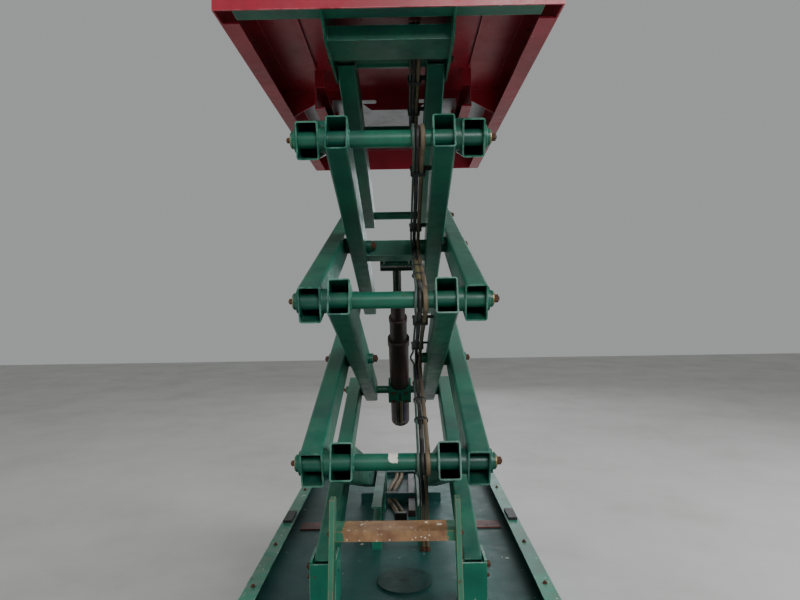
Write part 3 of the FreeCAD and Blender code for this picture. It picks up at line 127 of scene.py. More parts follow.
def ramp(tree: Tree, source: Socket, low: float, high: float, to: tuple[float, float] = (0.0, 1.0)) -> Socket:
    """Stretch a value so that low and high become two new limits, held between them.

    Args:
        tree: the node tree.
        source: the value to stretch.
        low: what becomes the first limit.
        high: what becomes the second limit.
        to: the two new limits.

    Returns:
        The stretched value's socket.
    """
    return add(tree, "MapRange", {"Value": source, "From Min": low, "From Max": high,
                                  "To Min": to[0], "To Max": to[1]}).outputs["Result"]


def combine(tree: Tree, operation: str, first: Socket | float, second: Socket | float = 0.0) -> Socket:
    """Join two values by a named operation.

    Args:
        tree: the node tree.
        operation: the math node's operation.
        first: a socket or a number.
        second: a socket or a number, for the operations that take two.

    Returns:
        The result's socket.
    """
    return add(tree, "Math", {0: first, 1: second}, operation=operation).outputs[0]


def noise(tree: Tree, place: Socket, grain_mm: float, detail: float = 4.0, roughness: float = 0.6) -> Socket:
    """Clouds whose largest grains are of a given size.

    Args:
        tree: the node tree.
        place: the coordinates, in metres.
        grain_mm: size of the grains.
        detail: how many finer layers there are.
        roughness: how strong the finer layers are.

    Returns:
        The clouds' value, from 0 to 1.
    """
    return add(tree, "TexNoise", {"Vector": place, "Scale": 1 / (grain_mm * MM), "Detail": detail,
                                  "Roughness": roughness}).outputs["Fac"]


def blend_colour(tree: Tree, share: Socket, below: Socket | tuple, above: Socket | tuple) -> Socket:
    """Mix two colours, each a socket or a linear colour.

    Args:
        tree: the node tree.
        share: how much of the upper colour shows, from 0 to 1.
        below: the lower colour.
        above: the upper colour.

    Returns:
        The mixed colour's socket.
    """
    return add(tree, "Mix", {0: share, 6: below, 7: above}, data_type="RGBA").outputs[2]


def new_material(name: str) -> tuple[bpy.types.Material, Tree, bpy.types.Node]:
    """Start a material.

    Args:
        name: its name.

    Returns:
        The material, its tree and its principled shader.
    """
    material = bpy.data.materials.new(name)
    material.use_nodes = True
    tree = material.node_tree
    return material, tree, tree.nodes["Principled BSDF"]


def spots(tree: Tree, place: Socket, pitch_mm: float, share: float, radius_mm: float) -> Socket:
    """Scatter ragged spots, one at most in each cell.

    Args:
        tree: the node tree.
        place: the coordinates, in metres.
        pitch_mm: size of a cell.
        share: how many of the cells hold a spot.
        radius_mm: radius of a spot.

    Returns:
        A mask that is 1 on a spot.
    """
    raggedness = 0.7
    cells = add(tree, "TexVoronoi", {"Vector": place, "Scale": 1 / (pitch_mm * MM)})
    ragged = combine(tree, "MULTIPLY", noise(tree, place, radius_mm, 3.0), raggedness)
    reach = combine(tree, "ADD", cells.outputs["Distance"], ragged)
    edge = radius_mm / pitch_mm + raggedness / 2
    lucky = add(tree, "SeparateColor", {0: cells.outputs["Color"]}).outputs[0]
    return combine(tree, "MULTIPLY", ramp(tree, reach, edge, edge - 0.05),
                   ramp(tree, lucky, 1 - share, 1.005 - share))


@dataclass(frozen=True)
class Patch:
    """A box of space, in millimetres, where the paint under it is another colour.

    A tilted box is turned about the X direction, and its limits are taken from its centre.
    """

    low: Triple
    high: Triple
    colour: str
    shade: str
    ragged_mm: float = 6.0
    centre: Triple = (0.0, 0.0, 0.0)
    tilt_degrees: float = 0.0
    wander_grain_mm: float = 25.0
    edge_mm: float = 0.5

    def mask(self, tree: Tree, place: Socket) -> Socket:
        """Mark the inside of the box.

        Args:
            tree: the node tree.
            place: the coordinates, in metres.

        Returns:
            A mask that is 1 inside the box, with a ragged edge.
        """
        clouds = noise(tree, place, self.wander_grain_mm, 5.0, 0.7)
        wander = combine(tree, "MULTIPLY", combine(tree, "SUBTRACT", clouds, 0.5), 4 * self.ragged_mm * MM)
        if self.tilt_degrees:
            place = add(tree, "Mapping", {"Vector": place, "Location": at_mm(*self.centre),
                                          "Rotation": (math.radians(self.tilt_degrees), 0.0, 0.0)},
                        vector_type="TEXTURE").outputs[0]
        axes = add(tree, "SeparateXYZ", {0: place}).outputs
        inside = None
        for axis, low, high in zip(axes, self.low, self.high):
            middle, half = (low + high) / 2 * MM, (high - low) / 2 * MM
            away = combine(tree, "ABSOLUTE", combine(tree, "SUBTRACT", axis, middle))
            ragged = combine(tree, "ADD", away, wander)
            here = ramp(tree, ragged, half + self.edge_mm * MM, half - self.edge_mm * MM)
            inside = here if inside is None else combine(tree, "MULTIPLY", inside, here)
        return inside


@dataclass(frozen=True)
class WornPaint:
    """Enamel brushed on steel: glossy where it is whole, pale on the edges from worn thin paint and a painted
    highlight, rusty in the chips.
    """

    name: str
    slot: str
    colour: str
    shade: str
    # the pale edges' colour: partly worn thin paint, partly a painted highlight
    edge: str
    rust: str = "4f2d1c"
    dust_colour: str = "7d7c72"
    cream: str = "d3cfbd"
    roughness: float = 0.4
    edge_wear_and_highlight: float = 0.6
    chip_share: float = 0.05
    dust: float = 0.3
    streaks: float = 0.35
    splashes: float = 0.0
    patches: tuple[Patch, ...] = ()
    patch_splashes: float = 0.0
    coat_mm: float = 300.0
    cloud_mm: float = 60.0
    run_mm: float = 26.0
    run_stretch: float = 0.14
    edge_mm: float = 4.0
    chip_pitch_mm: float = 38.0
    chip_mm: float = 5.0
    relief_mm: float = 1.5
    ior: float = 1.5

    def make(self) -> bpy.types.Material:
        """Build the material, coat over coat.

        Returns:
            The material.
        """
        material, tree, shader = new_material(self.name)
        place = add(tree, "TexCoord").outputs["Object"]
        normal = add(tree, "NewGeometry").outputs["Normal"]
        # streaks and drips are drawn out down the sides
        hung = add(tree, "Mapping", {"Vector": place, "Scale": (1.0, 1.0, self.run_stretch)}).outputs[0]
        clouds = noise(tree, place, self.cloud_mm, 6.0, 0.65)
        colour = self.coats(tree, place, hung)
        colour = self.settled_dust(tree, normal, clouds, colour)
        colour = self.pale_edges_wear_and_highlight(tree, normal, clouds, colour)
        for patch in self.patches:
            tone = ramp(tree, clouds, 0.35, 0.65)
            other = blend_colour(tree, tone, linear(patch.colour), linear(patch.shade))
            colour = blend_colour(tree, patch.mask(tree, place), colour, other)
        chip = spots(tree, place, self.chip_pitch_mm, self.chip_share, self.chip_mm)
        colour = blend_colour(tree, chip, colour, linear(self.rust))
        cream = self.cream_flecks(tree, place, hung)
        if cream is not None:
            colour = blend_colour(tree, cream, colour, linear(self.cream))
        tree.links.new(colour, shader.inputs["Base Color"])
        gloss = ramp(tree, clouds, 0.3, 0.75, (self.roughness - 0.08, self.roughness + 0.14))
        rough = combine(tree, "ADD", gloss, combine(tree, "MULTIPLY", chip, 0.35))
        tree.links.new(rough, shader.inputs["Roughness"])
        tree.links.new(self.relief(tree, place, chip), shader.inputs["Normal"])
        shader.inputs["IOR"].default_value = self.ior
        return material

    def coats(self, tree: Tree, place: Socket, hung: Socket) -> Socket:
        """Uneven coats with brushed streaks.

        Args:
            tree: the node tree.
            place: the coordinates.
            hung: the coordinates, drawn out down the sides.

        Returns:
            The whole paint's colour.
        """
        tone = ramp(tree, noise(tree, place, self.coat_mm), 0.36, 0.68)
        colour = blend_colour(tree, tone, linear(self.colour), linear(self.shade))
        runs = ramp(tree, noise(tree, hung, self.run_mm, 5.0, 0.7), 0.5, 0.72)
        return blend_colour(tree, combine(tree, "MULTIPLY", runs, self.streaks), colour, linear(self.shade))

    def settled_dust(self, tree: Tree, normal: Socket, clouds: Socket, colour: Socket) -> Socket:
        """Dust that lies on upper faces.

        Args:
            tree: the node tree.
            normal: the faces' normals.
            clouds: where the dust is thick.
            colour: the colour below.

        Returns:
            The dusty colour.
        """
        upward = add(tree, "SeparateXYZ", {0: normal}).outputs["Z"]
        settled = combine(tree, "MULTIPLY", ramp(tree, upward, 0.3, 0.95), ramp(tree, clouds, 0.4, 0.66))
        settled = combine(tree, "MULTIPLY", settled, self.dust)
        return blend_colour(tree, settled, colour, linear(self.dust_colour))

    def pale_edges_wear_and_highlight(self, tree: Tree, normal: Socket, clouds: Socket, colour: Socket) -> Socket:
        """Pale edges, where a rounded edge's normal leaves the flat one: worn thin paint and a painted
        highlight.

        Args:
            tree: the node tree.
            normal: the faces' normals.
            clouds: where the edges are pale.
            colour: the colour below.

        Returns:
            The colour with its pale edges.
        """
        rounded = add(tree, "Bevel", {"Radius": self.edge_mm * MM}, samples=4).outputs[0]
        flat = add(tree, "VectorMath", {0: rounded, 1: normal}, operation="DOT_PRODUCT").outputs["Value"]
        worn = ramp(tree, clouds, 0.62 - 0.3 * self.edge_wear_and_highlight, 0.68 - 0.2 * self.edge_wear_and_highlight)
        # the pale edge colour is partly worn thin paint and partly a painted highlight along rounded edges
        edge = combine(tree, "MULTIPLY", ramp(tree, flat, 0.995, 0.88), worn)
        return blend_colour(tree, edge, colour, linear(self.edge))

    def cream_flecks(self, tree: Tree, place: Socket, hung: Socket) -> Socket | None:
        """Flecks and drips of cream masonry paint, all over and closer together in the first patch.

        Args:
            tree: the node tree.
            place: the coordinates.
            hung: the coordinates, drawn out down the sides.

        Returns:
            Their mask, or None for a finish without them.
        """
        cream = None
        if self.splashes:
            cream = combine(tree, "MAXIMUM", spots(tree, hung, 60.0, self.splashes, 9.0),
                            spots(tree, hung, 22.0, self.splashes, 3.0))
        if self.patch_splashes:
            flecks = combine(tree, "MAXIMUM", spots(tree, place, 34.0, self.patch_splashes, 7.0),
                             spots(tree, place, 13.0, self.patch_splashes, 2.5))
            flecks = combine(tree, "MULTIPLY", flecks, self.patches[0].mask(tree, place))
            cream = flecks if cream is None else combine(tree, "MAXIMUM", cream, flecks)
        return cream

    def relief(self, tree: Tree, place: Socket, chip: Socket) -> Socket:
        """Brush marks, which are about 2 mm apart and are drawn coarser so that they show, and sunk chips.

        Args:
            tree: the node tree.
            place: the coordinates.
            chip: the chips' mask.

        Returns:
            The bumped normal.
        """
        marks, grains = noise(tree, place, 26.0, 3.0, 0.5), noise(tree, place, 14.0, 5.0, 0.7)
        height = combine(tree, "SUBTRACT", marks, combine(tree, "MULTIPLY", chip, 1.2))
        height = combine(tree, "ADD", height, combine(tree, "MULTIPLY", grains, 0.25))
        return add(tree, "Bump", {"Height": height, "Strength": 0.2,
                                  "Distance": self.relief_mm * MM}).outputs["Normal"]


@dataclass(frozen=True)
class Plain:
    """A moulded, drawn or turned skin with a fine grain: rubber, plastic, bare or plated metal."""

    name: str
    slot: str
    colour: str
    shade: str
    roughness: float
    cloud_mm: float = 90.0
    grain_mm: float = 3.0
    grain_depth_mm: float = 0.3
    dust: float = 0.3
    dust_colour: str = "8a8478"
    metallic: float = 0.0
    pressed_mm: float = 0.0
    pressed_height: float = 6.0

    def make(self) -> bpy.types.Material:
        """Build the material.

        Returns:
            The material.
        """
        material, tree, shader = new_material(self.name)
        place = add(tree, "TexCoord").outputs["Object"]
        clouds = noise(tree, place, self.cloud_mm, 7.0, 0.65)
        colour = blend_colour(tree, ramp(tree, clouds, 0.35, 0.65), linear(self.colour), linear(self.shade))
        grime = combine(tree, "MULTIPLY", ramp(tree, clouds, 0.52, 0.72), self.dust)
        colour = blend_colour(tree, grime, colour, linear(self.dust_colour))
        tree.links.new(colour, shader.inputs["Base Color"])
        rough = ramp(tree, clouds, 0.3, 0.7, (self.roughness - 0.07, self.roughness + 0.1))
        tree.links.new(rough, shader.inputs["Roughness"])
        height = noise(tree, place, self.grain_mm, 2.0)
        if self.pressed_mm:
            height = combine(tree, "ADD", height, self.pressed_bars(tree, place))
        bump = add(tree, "Bump", {"Height": height, "Strength": 0.6, "Distance": self.grain_depth_mm * MM})
        tree.links.new(bump.outputs["Normal"], shader.inputs["Normal"])
        shader.inputs["Metallic"].default_value = self.metallic
        return material

    def pressed_bars(self, tree: Tree, place: Socket) -> Socket:
        """The raised lozenges of non-slip plate, as heights.

        Args:
            tree: the node tree.
            place: the coordinates.

        Returns:
            Their height.
        """
        cells = add(tree, "TexVoronoi", {"Vector": place, "Scale": 1 / (self.pressed_mm * MM),
                                         "Randomness": 0.0}, distance="MANHATTAN")
        bars = ramp(tree, cells.outputs["Distance"], 0.42, 0.3)
        return combine(tree, "MULTIPLY", bars, self.pressed_height)


@dataclass(frozen=True)
class CameraStand:
    """Where the photograph was taken from: level with the middle of the stack, close to the ladder end."""

    place: Triple = (0.039, -3.03, 1.53)
    focal_px: float = 602.0
    frame_px: float = 800.0
    sensor_mm: float = 36.0
    yaw_left_deg: float = 0.43
    pitch_up_deg: float = 0.48
    roll_deg: float = -0.9
    nearest: float = 0.05

    def build(self) -> None:
        """Make the camera and let the scene use it."""
        lens = bpy.data.cameras.new("camera")
        lens.sensor_width = self.sensor_mm
        lens.lens = self.focal_px / self.frame_px * self.sensor_mm
        lens.clip_start = self.nearest
        camera = bpy.data.objects.new("camera", lens)
        bpy.context.scene.collection.objects.link(camera)
        turn = (Matrix.Rotation(math.radians(self.yaw_left_deg), 4, "Z")
                @ Matrix.Rotation(math.radians(90 + self.pitch_up_deg), 4, "X")
                @ Matrix.Rotation(math.radians(self.roll_deg), 4, "Z"))
        camera.matrix_world = Matrix.Translation(self.place) @ turn
        bpy.context.scene.camera = camera


@dataclass(frozen=True)
class Lamp:
    """One soft area light, with its place, aim and size in metres."""

    name: str
    place: Triple
    aim: Triple
    size: float
    power: float
    colour: str = "ffffff"

    def build(self) -> None:
        """Make the light."""
        data = bpy.data.lights.new(self.name, "AREA")
        data.energy = self.power
        data.size = self.size
        data.color = linear(self.colour)[:3]
        light = bpy.data.objects.new(self.name, data)
        look = (Vector(self.aim) - Vector(self.place)).to_track_quat("-Z", "Y")
        light.matrix_world = Matrix.Translation(self.place) @ look.to_matrix().to_4x4()
        bpy.context.scene.collection.objects.link(light)


@dataclass(frozen=True)
class Studio:
    """The pale floor and the soft light."""

    floor_half: float = 14.0
    floor_paint: Plain = Plain("matt_floor_paint", "", "bdbcb8", "b3b2ae", 0.6, cloud_mm=900.0, grain_mm=20.0,
                               dust=0.1)
    world_colour: str = "d9dcdc"
    world_strength: float = 0.5
    lamps: tuple[Lamp, ...] = (
        Lamp("right_window", (5.5, -0.5, 3.6), (0.0, 0.0, 1.5), 3.0, 330.0, "f6f9ff"),
        Lamp("left_fill", (-5.5, -2.5, 3.0), (0.0, 0.0, 1.4), 3.0, 130.0),
        Lamp("near_key", (1.6, -6.5, 4.4), (0.0, -0.5, 1.4), 2.0, 230.0),
        Lamp("far_window", (1.0, 7.5, 3.4), (0.0, 0.0, 1.6), 3.0, 70.0, "f6faff"),
    )

    def build(self) -> None:
        """Build the floor, the world and the lights."""
        mesh = bmesh.new()
        bmesh.ops.create_grid(mesh, x_segments=1, y_segments=1, size=self.floor_half)
        floor = make_object("studio_floor", mesh)
        floor.data.materials.append(self.floor_paint.make())
        world = bpy.data.worlds.new("soft_room")
        world.use_nodes = True
        background = world.node_tree.nodes["Background"]
        background.inputs["Color"].default_value = linear(self.world_colour)
        background.inputs["Strength"].default_value = self.world_strength
        bpy.context.scene.world = world
        for lamp in self.lamps:
            lamp.build()


def make_object(name: str, mesh: bmesh.types.BMesh) -> bpy.types.Object:
    """Turn a bmesh into an object of the scene.

    Args:
        name: the piece's name.
        mesh: the bmesh, which is freed.

    Returns:
        The object, at the origin.
    """
    data = bpy.data.meshes.new(name)
    mesh.to_mesh(data)
    mesh.free()
    piece = bpy.data.objects.new(name, data)
    bpy.context.scene.collection.objects.link(piece)
    return piece


# where one finish shows another colour: the paint scraped off the first shaft, and the trodden step
SCRAPED_SHAFT = Patch((-24.0, -1040.0, 1003.0), (6.0, -960.0, 1034.0), "d3d2c8", "c3beae", 7.0)
TRODDEN_STEP = Patch((-160.0, -1340.0, 200.0), (158.0, -1100.0, 900.0), "94724f", "6d4c35", 9.0)
# the round cover on the tray with its slot, painted near-black as painted shade in the recess, and the rusty
# red straps across the tray
TRAY_COVER = Patch((-115.0, -670.0, 380.0), (158.0, -390.0, 425.0), "10413a", "0b2f2b", 1.0)
# the slot's near-black is painted shade inside the recess, not a colour of the cover
COVER_SLOT_SHADE = Patch((0.0, -540.0, 380.0), (40.0, -524.0, 425.0), "060807", "0a0c0b", 1.0)
TRAY_STRAPS = Patch((-520.0, 45.0, 380.0), (520.0, 148.0, 410.0), "6f3c33", "56302a", 4.0)
# the barrel's collar, tilted with the cylinder, and the dark mark on its front
TRUNNION = (0.0, 786.2, 997.4)
TILT = 39.7
COLLAR = Patch((-73.0, -69.0, -55.0), (73.0, 69.0, 55.0), "136a52", "0e5443", 1.0, TRUNNION, TILT)
COLLAR_MARK = Patch((-4.0, -80.0, -30.0), (8.0, 80.0, 26.0), "171a18", "20211d", 4.0, TRUNNION, TILT)


class Finish(Enum):
    """The finishes of the lift, each with the material that makes it."""

    # each paint's third colour is its pale edges': worn thin paint with a painted highlight
    # gloss enamel brushed on box section: darker streaks, pale edges, little dust on the sloping arms
    GREEN = WornPaint("green_enamel", "green_paint", "0d654c", "08463a", "74ab97", dust=0.12, streaks=0.5,
                      patches=(SCRAPED_SHAFT,))
    # the same on the rails, where dust lies and cream paint has dripped
    GREEN_SPLASHED = WornPaint("green_enamel_splashed", "rail_paint", "177a60", "105b49", "8fb9a6", dust=0.45,
                               chip_share=0.12, splashes=0.2)
    # the tray's enamel is darker, bluer and duller than the rails'
    GREEN_TRAY = WornPaint("green_enamel_scuffed_on_the_tray", "rail_paint", "17544c", "0c3d3b", "6f9a8c",
                           dust=0.3, dust_colour="3f5a55", roughness=0.5, chip_share=0.06, splashes=0.05)
    # pressed doors get fainter pale edges, worn paint and painted highlight alike, so their louvres stay
    # plain
    HOUSING = WornPaint("green_enamel_on_housings", "rail_paint", "167059", "10594a", "3f8a74", dust=0.3,
                        edge_wear_and_highlight=0.3, chip_share=0.08, splashes=0.08)
    # treads worn through to brown steel between green stiles
    STEP = WornPaint("green_enamel_worn_to_rust", "worn_green_steel", "1c6a50", "2b5140", "8b6a48",
                     edge_wear_and_highlight=1.0, chip_share=0.3, roughness=0.45, patches=(TRODDEN_STEP,),
                     patch_splashes=0.36)
    # black enamel: satin, with grey edges
    FITTINGS = WornPaint("black_enamel_on_fittings", "dark_steel", "191a1b", "121314", "4c4c4a",
                         roughness=0.5, chip_share=0.15, dust=0.12,
                         patches=(TRAY_COVER, COVER_SLOT_SHADE, TRAY_STRAPS))
    # sprayed enamel, glossy and nearly whole, with broad darker streaks
    RED = WornPaint("red_enamel", "red_paint", "a82237", "8a1b2c", "d5727f", rust="3c1d17", roughness=0.33,
                    chip_share=0.02, streaks=0.5, splashes=0.02)
    # the same on bent tube, chipped by hands and tools
    RED_RAIL = WornPaint("red_enamel_on_rails", "red_paint", "b5263b", "98202f", "cf8a86", rust="3c1d17",
                         roughness=0.3, chip_share=0.14)
    BLACK = WornPaint("black_enamel", "dark_steel", "1b1c1d", "131415", "55554f", roughness=0.42,
                      chip_share=0.12, dust=0.45)
    # primer that oil has darkened, under the collar's green
    CYLINDER = WornPaint("brown_primer", "cylinder_paint", "33211f", "241a1a", "5d4a42", roughness=0.4,
                         patches=(COLLAR, COLLAR_MARK))
    DUCT = WornPaint("brown_primer_on_duct", "cylinder_paint", "3a2926", "2a1f1e", "5d4a42", roughness=0.45)
    RIM = WornPaint("cream_rim_enamel", "wheel_steel", "cdc8b9", "b7b1a0", "8d8573", chip_share=0.2, dust=0.5)
    # moulded rubber: dull and dusty, smoother on the hoses than on the tyres
    TYRE = Plain("solid_tyre_rubber", "tyre_rubber", "1b1b1a", "262524", 0.75, grain_mm=5.0,
                 grain_depth_mm=0.5, dust=0.45)
    HOSE = Plain("braided_hose_rubber", "hose_rubber", "181818", "262422", 0.5, dust=0.4)
    OLD_HOSE = Plain("dusty_tan_hose_rubber", "hose_rubber", "71624a", "4c4133", 0.6, dust=0.3)
    # woven cloth over a hose: matt, with a coarse grain
    OLIVE_SLEEVE = Plain("olive_woven_sleeve", "hose_rubber", "68633a", "4d4a30", 0.7, grain_mm=4.0,
                         dust=0.25)
    # drawn and moulded plastics: even, with a soft shine
    CABLE = Plain("grey_green_cable_jacket", "hose_rubber", "3d5148", "2f3d38", 0.5, dust=0.3)
    BLUE_HOSE = Plain("blue_air_hose", "hose_rubber", "2e2f78", "262760", 0.4, dust=0.15)
    PLASTIC = Plain("black_moulded_plastic", "control_plastic", "1f2021", "191a1b", 0.5, dust=0.2)
    GREY_PLASTIC = Plain("grey_moulded_plastic", "control_plastic", "6f7172", "66686a", 0.5, dust=0.2)
    RED_KNOB = Plain("red_moulded_plastic", "control_plastic", "b3161b", "a01418", 0.35, dust=0.05)
    # bare and plated metals: ground, rolled, pressed, plated and rusted
    ROD = Plain("ground_chromed_rod", "cylinder_chrome", "6a6967", "575654", 0.25, grain_depth_mm=0.05,
                dust=0.1, metallic=1.0)
    ALUMINIUM = Plain("mill_aluminium", "aluminium_plate", "b9bcbf", "a7aaad", 0.38, grain_mm=8.0,
                      grain_depth_mm=0.4, dust=0.2, metallic=1.0)
    TREAD_PLATE = Plain("pressed_tread_plate", "aluminium_plate", "adafb1", "989a9c", 0.4, grain_mm=8.0,
                        grain_depth_mm=0.5, dust=0.35, metallic=1.0, pressed_mm=28.0)
    ZINC = Plain("yellow_zinc_plate", "cylinder_chrome", "9c8a5a", "6f6748", 0.4, cloud_mm=30.0, dust=0.4,
                 dust_colour="5d4630", metallic=0.8)
    RUSTY = Plain("rusty_bolt_steel", "worn_green_steel", "5e3a26", "3d2a20", 0.75, cloud_mm=20.0,
                  grain_depth_mm=0.6, dust=0.3, dust_colour="7a5a3c", metallic=0.2)


def facing(centre: Vector, axis: Vector) -> Matrix:
    """A placement whose Z looks along an axis."""
    return Matrix.Translation(centre) @ axis.to_track_quat("Z", "Y").to_matrix().to_4x4()


class Bench:
    """A mesh that small fittings are added to before they become one piece."""

    WASHER_THICKNESS = 2.5 * MM

    def __init__(self) -> None:
        """Start with an empty mesh."""
        self.mesh = bmesh.new()

    def soften(self, edges: Iterable[bmesh.types.BMEdge], width: float, segments: int = 1) -> None:
        """Bevel some edges of the mesh."""
        bmesh.ops.bevel(self.mesh, geom=list(edges), offset=width, affect="EDGES", segments=segments,
                        profile=0.5, material=-1)

    def drum(self, place: Matrix, low_radius: float, top_radius: float, length: float, sides: int,
             edge: float) -> None:
        """Add a closed cone or cylinder with softened rims.

        Args:
            place: its placement, with its axis on Z and its middle at the origin.
            low_radius: radius of its foot.
            top_radius: radius of its top.
            length: its length.
            sides: how many sides it has.
            edge: the bevel of its rims.
        """
        made = bmesh.ops.create_cone(self.mesh, cap_ends=True, segments=sides, radius1=low_radius,
                                     radius2=top_radius, depth=length, matrix=place)
        # only the caps have more than four corners
        self.soften({item for vert in made["verts"] for item in vert.link_edges
                     if any(len(face.verts) > 4 for face in item.link_faces)}, edge)

    def turned(self, centre: Vector, axis: Vector, radius: float, length: float, sides: int = 20,
               edge: float = 0.8 * MM, top: float | None = None) -> None:
        """Add a turned piece, or a hexagon where it has six sides, that stands on a face.

        Args:
            centre: middle of its foot.
            axis: the way that it stands.
            radius: radius of its foot, to its corners.
            length: how far it stands out.
            sides: how many sides it has.
            edge: the bevel of its rims.
            top: radius of its top, where that differs.
        """
        self.drum(facing(centre + axis * length / 2, axis), radius, radius if top is None else top, length,
                  sides, edge)

    def bolt(self, centre: Vector, axis: Vector, across_flats: float) -> None:
        """Add a washer with a hexagon head and the end of its thread.

        Args:
            centre: where the bolt meets the face.
            axis: the way that its head looks.
            across_flats: width of the head.
        """
        head = 0.6 * across_flats
        seat = centre + axis * self.WASHER_THICKNESS
        self.turned(centre, axis, 0.82 * across_flats, self.WASHER_THICKNESS, 24, 0.5 * MM)
        self.turned(seat, axis, across_flats / math.sqrt(3), head, 6, 1.2 * MM)
        self.turned(seat + axis * head, axis, 0.3 * across_flats, 0.14 * across_flats, 12, 0.6 * MM)

    def block(self, low: Vector, high: Vector, edge: float = 1.5 * MM, turn: Matrix | None = None) -> None:
        """Add a box with its edges rounded.

        Args:
            low: its lower corner.
            high: its upper corner.
            edge: the bevel of its edges.
            turn: a placement of the box, where it isn't upright.
        """
        size = high - low
        place = (turn or Matrix.Identity(4)) @ Matrix.Translation((low + high) / 2)
        made = bmesh.ops.create_cube(self.mesh, size=1.0, matrix=place @ Matrix.Diagonal((*size, 1.0)))
        self.soften({item for vert in made["verts"] for item in vert.link_edges}, edge, 2)

    def ring(self, centre: Vector, axis: Vector, radius: float, bead: float, steps: int = 40,
             ripple: float = 0.0) -> None:
        """Add a round bead about an axis, such as a weld.

        Args:
            centre: the ring's centre.
            axis: the ring's axis.
            radius: radius of the bead's middle.
            bead: radius of the bead.
            steps: how many steps the ring has.
            ripple: how much the bead swells and thins, as a share of its radius.
        """
        waves = 13
        place = facing(centre, axis)
        profile = bmesh.ops.create_circle(self.mesh, segments=8, radius=bead,
                                          matrix=place @ Matrix.Translation((radius, 0.0, 0.0))
                                          @ Matrix.Rotation(math.pi / 2, 4, "X"))["verts"]
        edges = {item for vert in profile for item in vert.link_edges}
        before = set(self.mesh.faces)
        bmesh.ops.spin(self.mesh, geom=profile + list(edges), cent=centre, axis=axis, angle=math.tau,
                       steps=steps, use_merge=True)
        made = [face for face in self.mesh.faces if face not in before]
        bmesh.ops.recalc_face_normals(self.mesh, faces=made)
        flat = place.inverted()
        for vert in {vert for face in made for vert in face.verts}:
            at = flat @ vert.co
            swell = 1 + ripple * math.sin(waves * math.atan2(at.y, at.x))
            middle = Vector((at.x, at.y, 0.0)).normalized() * radius
            vert.co = place @ (middle + (at - middle) * swell)

    def piece(self, name: str) -> bpy.types.Object:
        """Finish the mesh and make it a piece."""
        return make_object(name, self.mesh)


@dataclass(frozen=True)
class Turned:
    """A turned part in millimetres, a hexagon where it has six sides, on top of what starts before it."""

    radius: float
    height: float
    sides: int = 20
    edge: float = 0.8
    top: float | None = None
    start: float = 0.0

    def stand(self, bench: Bench, place: Vector, axis: Vector) -> None:
        """Add the part to a bench.

        Args:
            bench: the bench.
            place: the face that the part starts from.
            axis: the way that it stands.
        """
        top = self.radius if self.top is None else self.top
        bench.turned(place + axis * self.start * MM, axis, self.radius * MM, self.height * MM, self.sides,
                     self.edge * MM, top * MM)


def smooth_tube(name: str, points: list[Vector], radius: float) -> bpy.types.Object:
    """Make a round tube along one smooth NURBS line.

    Args:
        name: the piece's name.
        points: the line's control points.
        radius: radius of the tube.

    Returns:
        The tube as a mesh piece.
    """
    curve = bpy.data.curves.new(name + "_line", "CURVE")
    curve.dimensions = "3D"
    curve.bevel_depth = radius
    curve.bevel_resolution = 3
    curve.resolution_u = 10
    curve.use_fill_caps = True
    spline = curve.splines.new("NURBS")
    spline.points.add(len(points) - 1)
    for point, at in zip(spline.points, points):
        point.co = (*at, 1.0)
    spline.order_u = 3
    spline.use_endpoint_u = True
    line = bpy.data.objects.new(name + "_line", curve)
    bpy.context.scene.collection.objects.link(line)
    bpy.context.view_layer.update()
    mesh = bpy.data.meshes.new_from_object(line.evaluated_get(bpy.context.evaluated_depsgraph_get()))
    bpy.data.objects.remove(line)
    mesh.name = name
    piece = bpy.data.objects.new(name, mesh)
    bpy.context.scene.collection.objects.link(piece)
    for face in mesh.polygons:
        face.use_smooth = True
    return piece


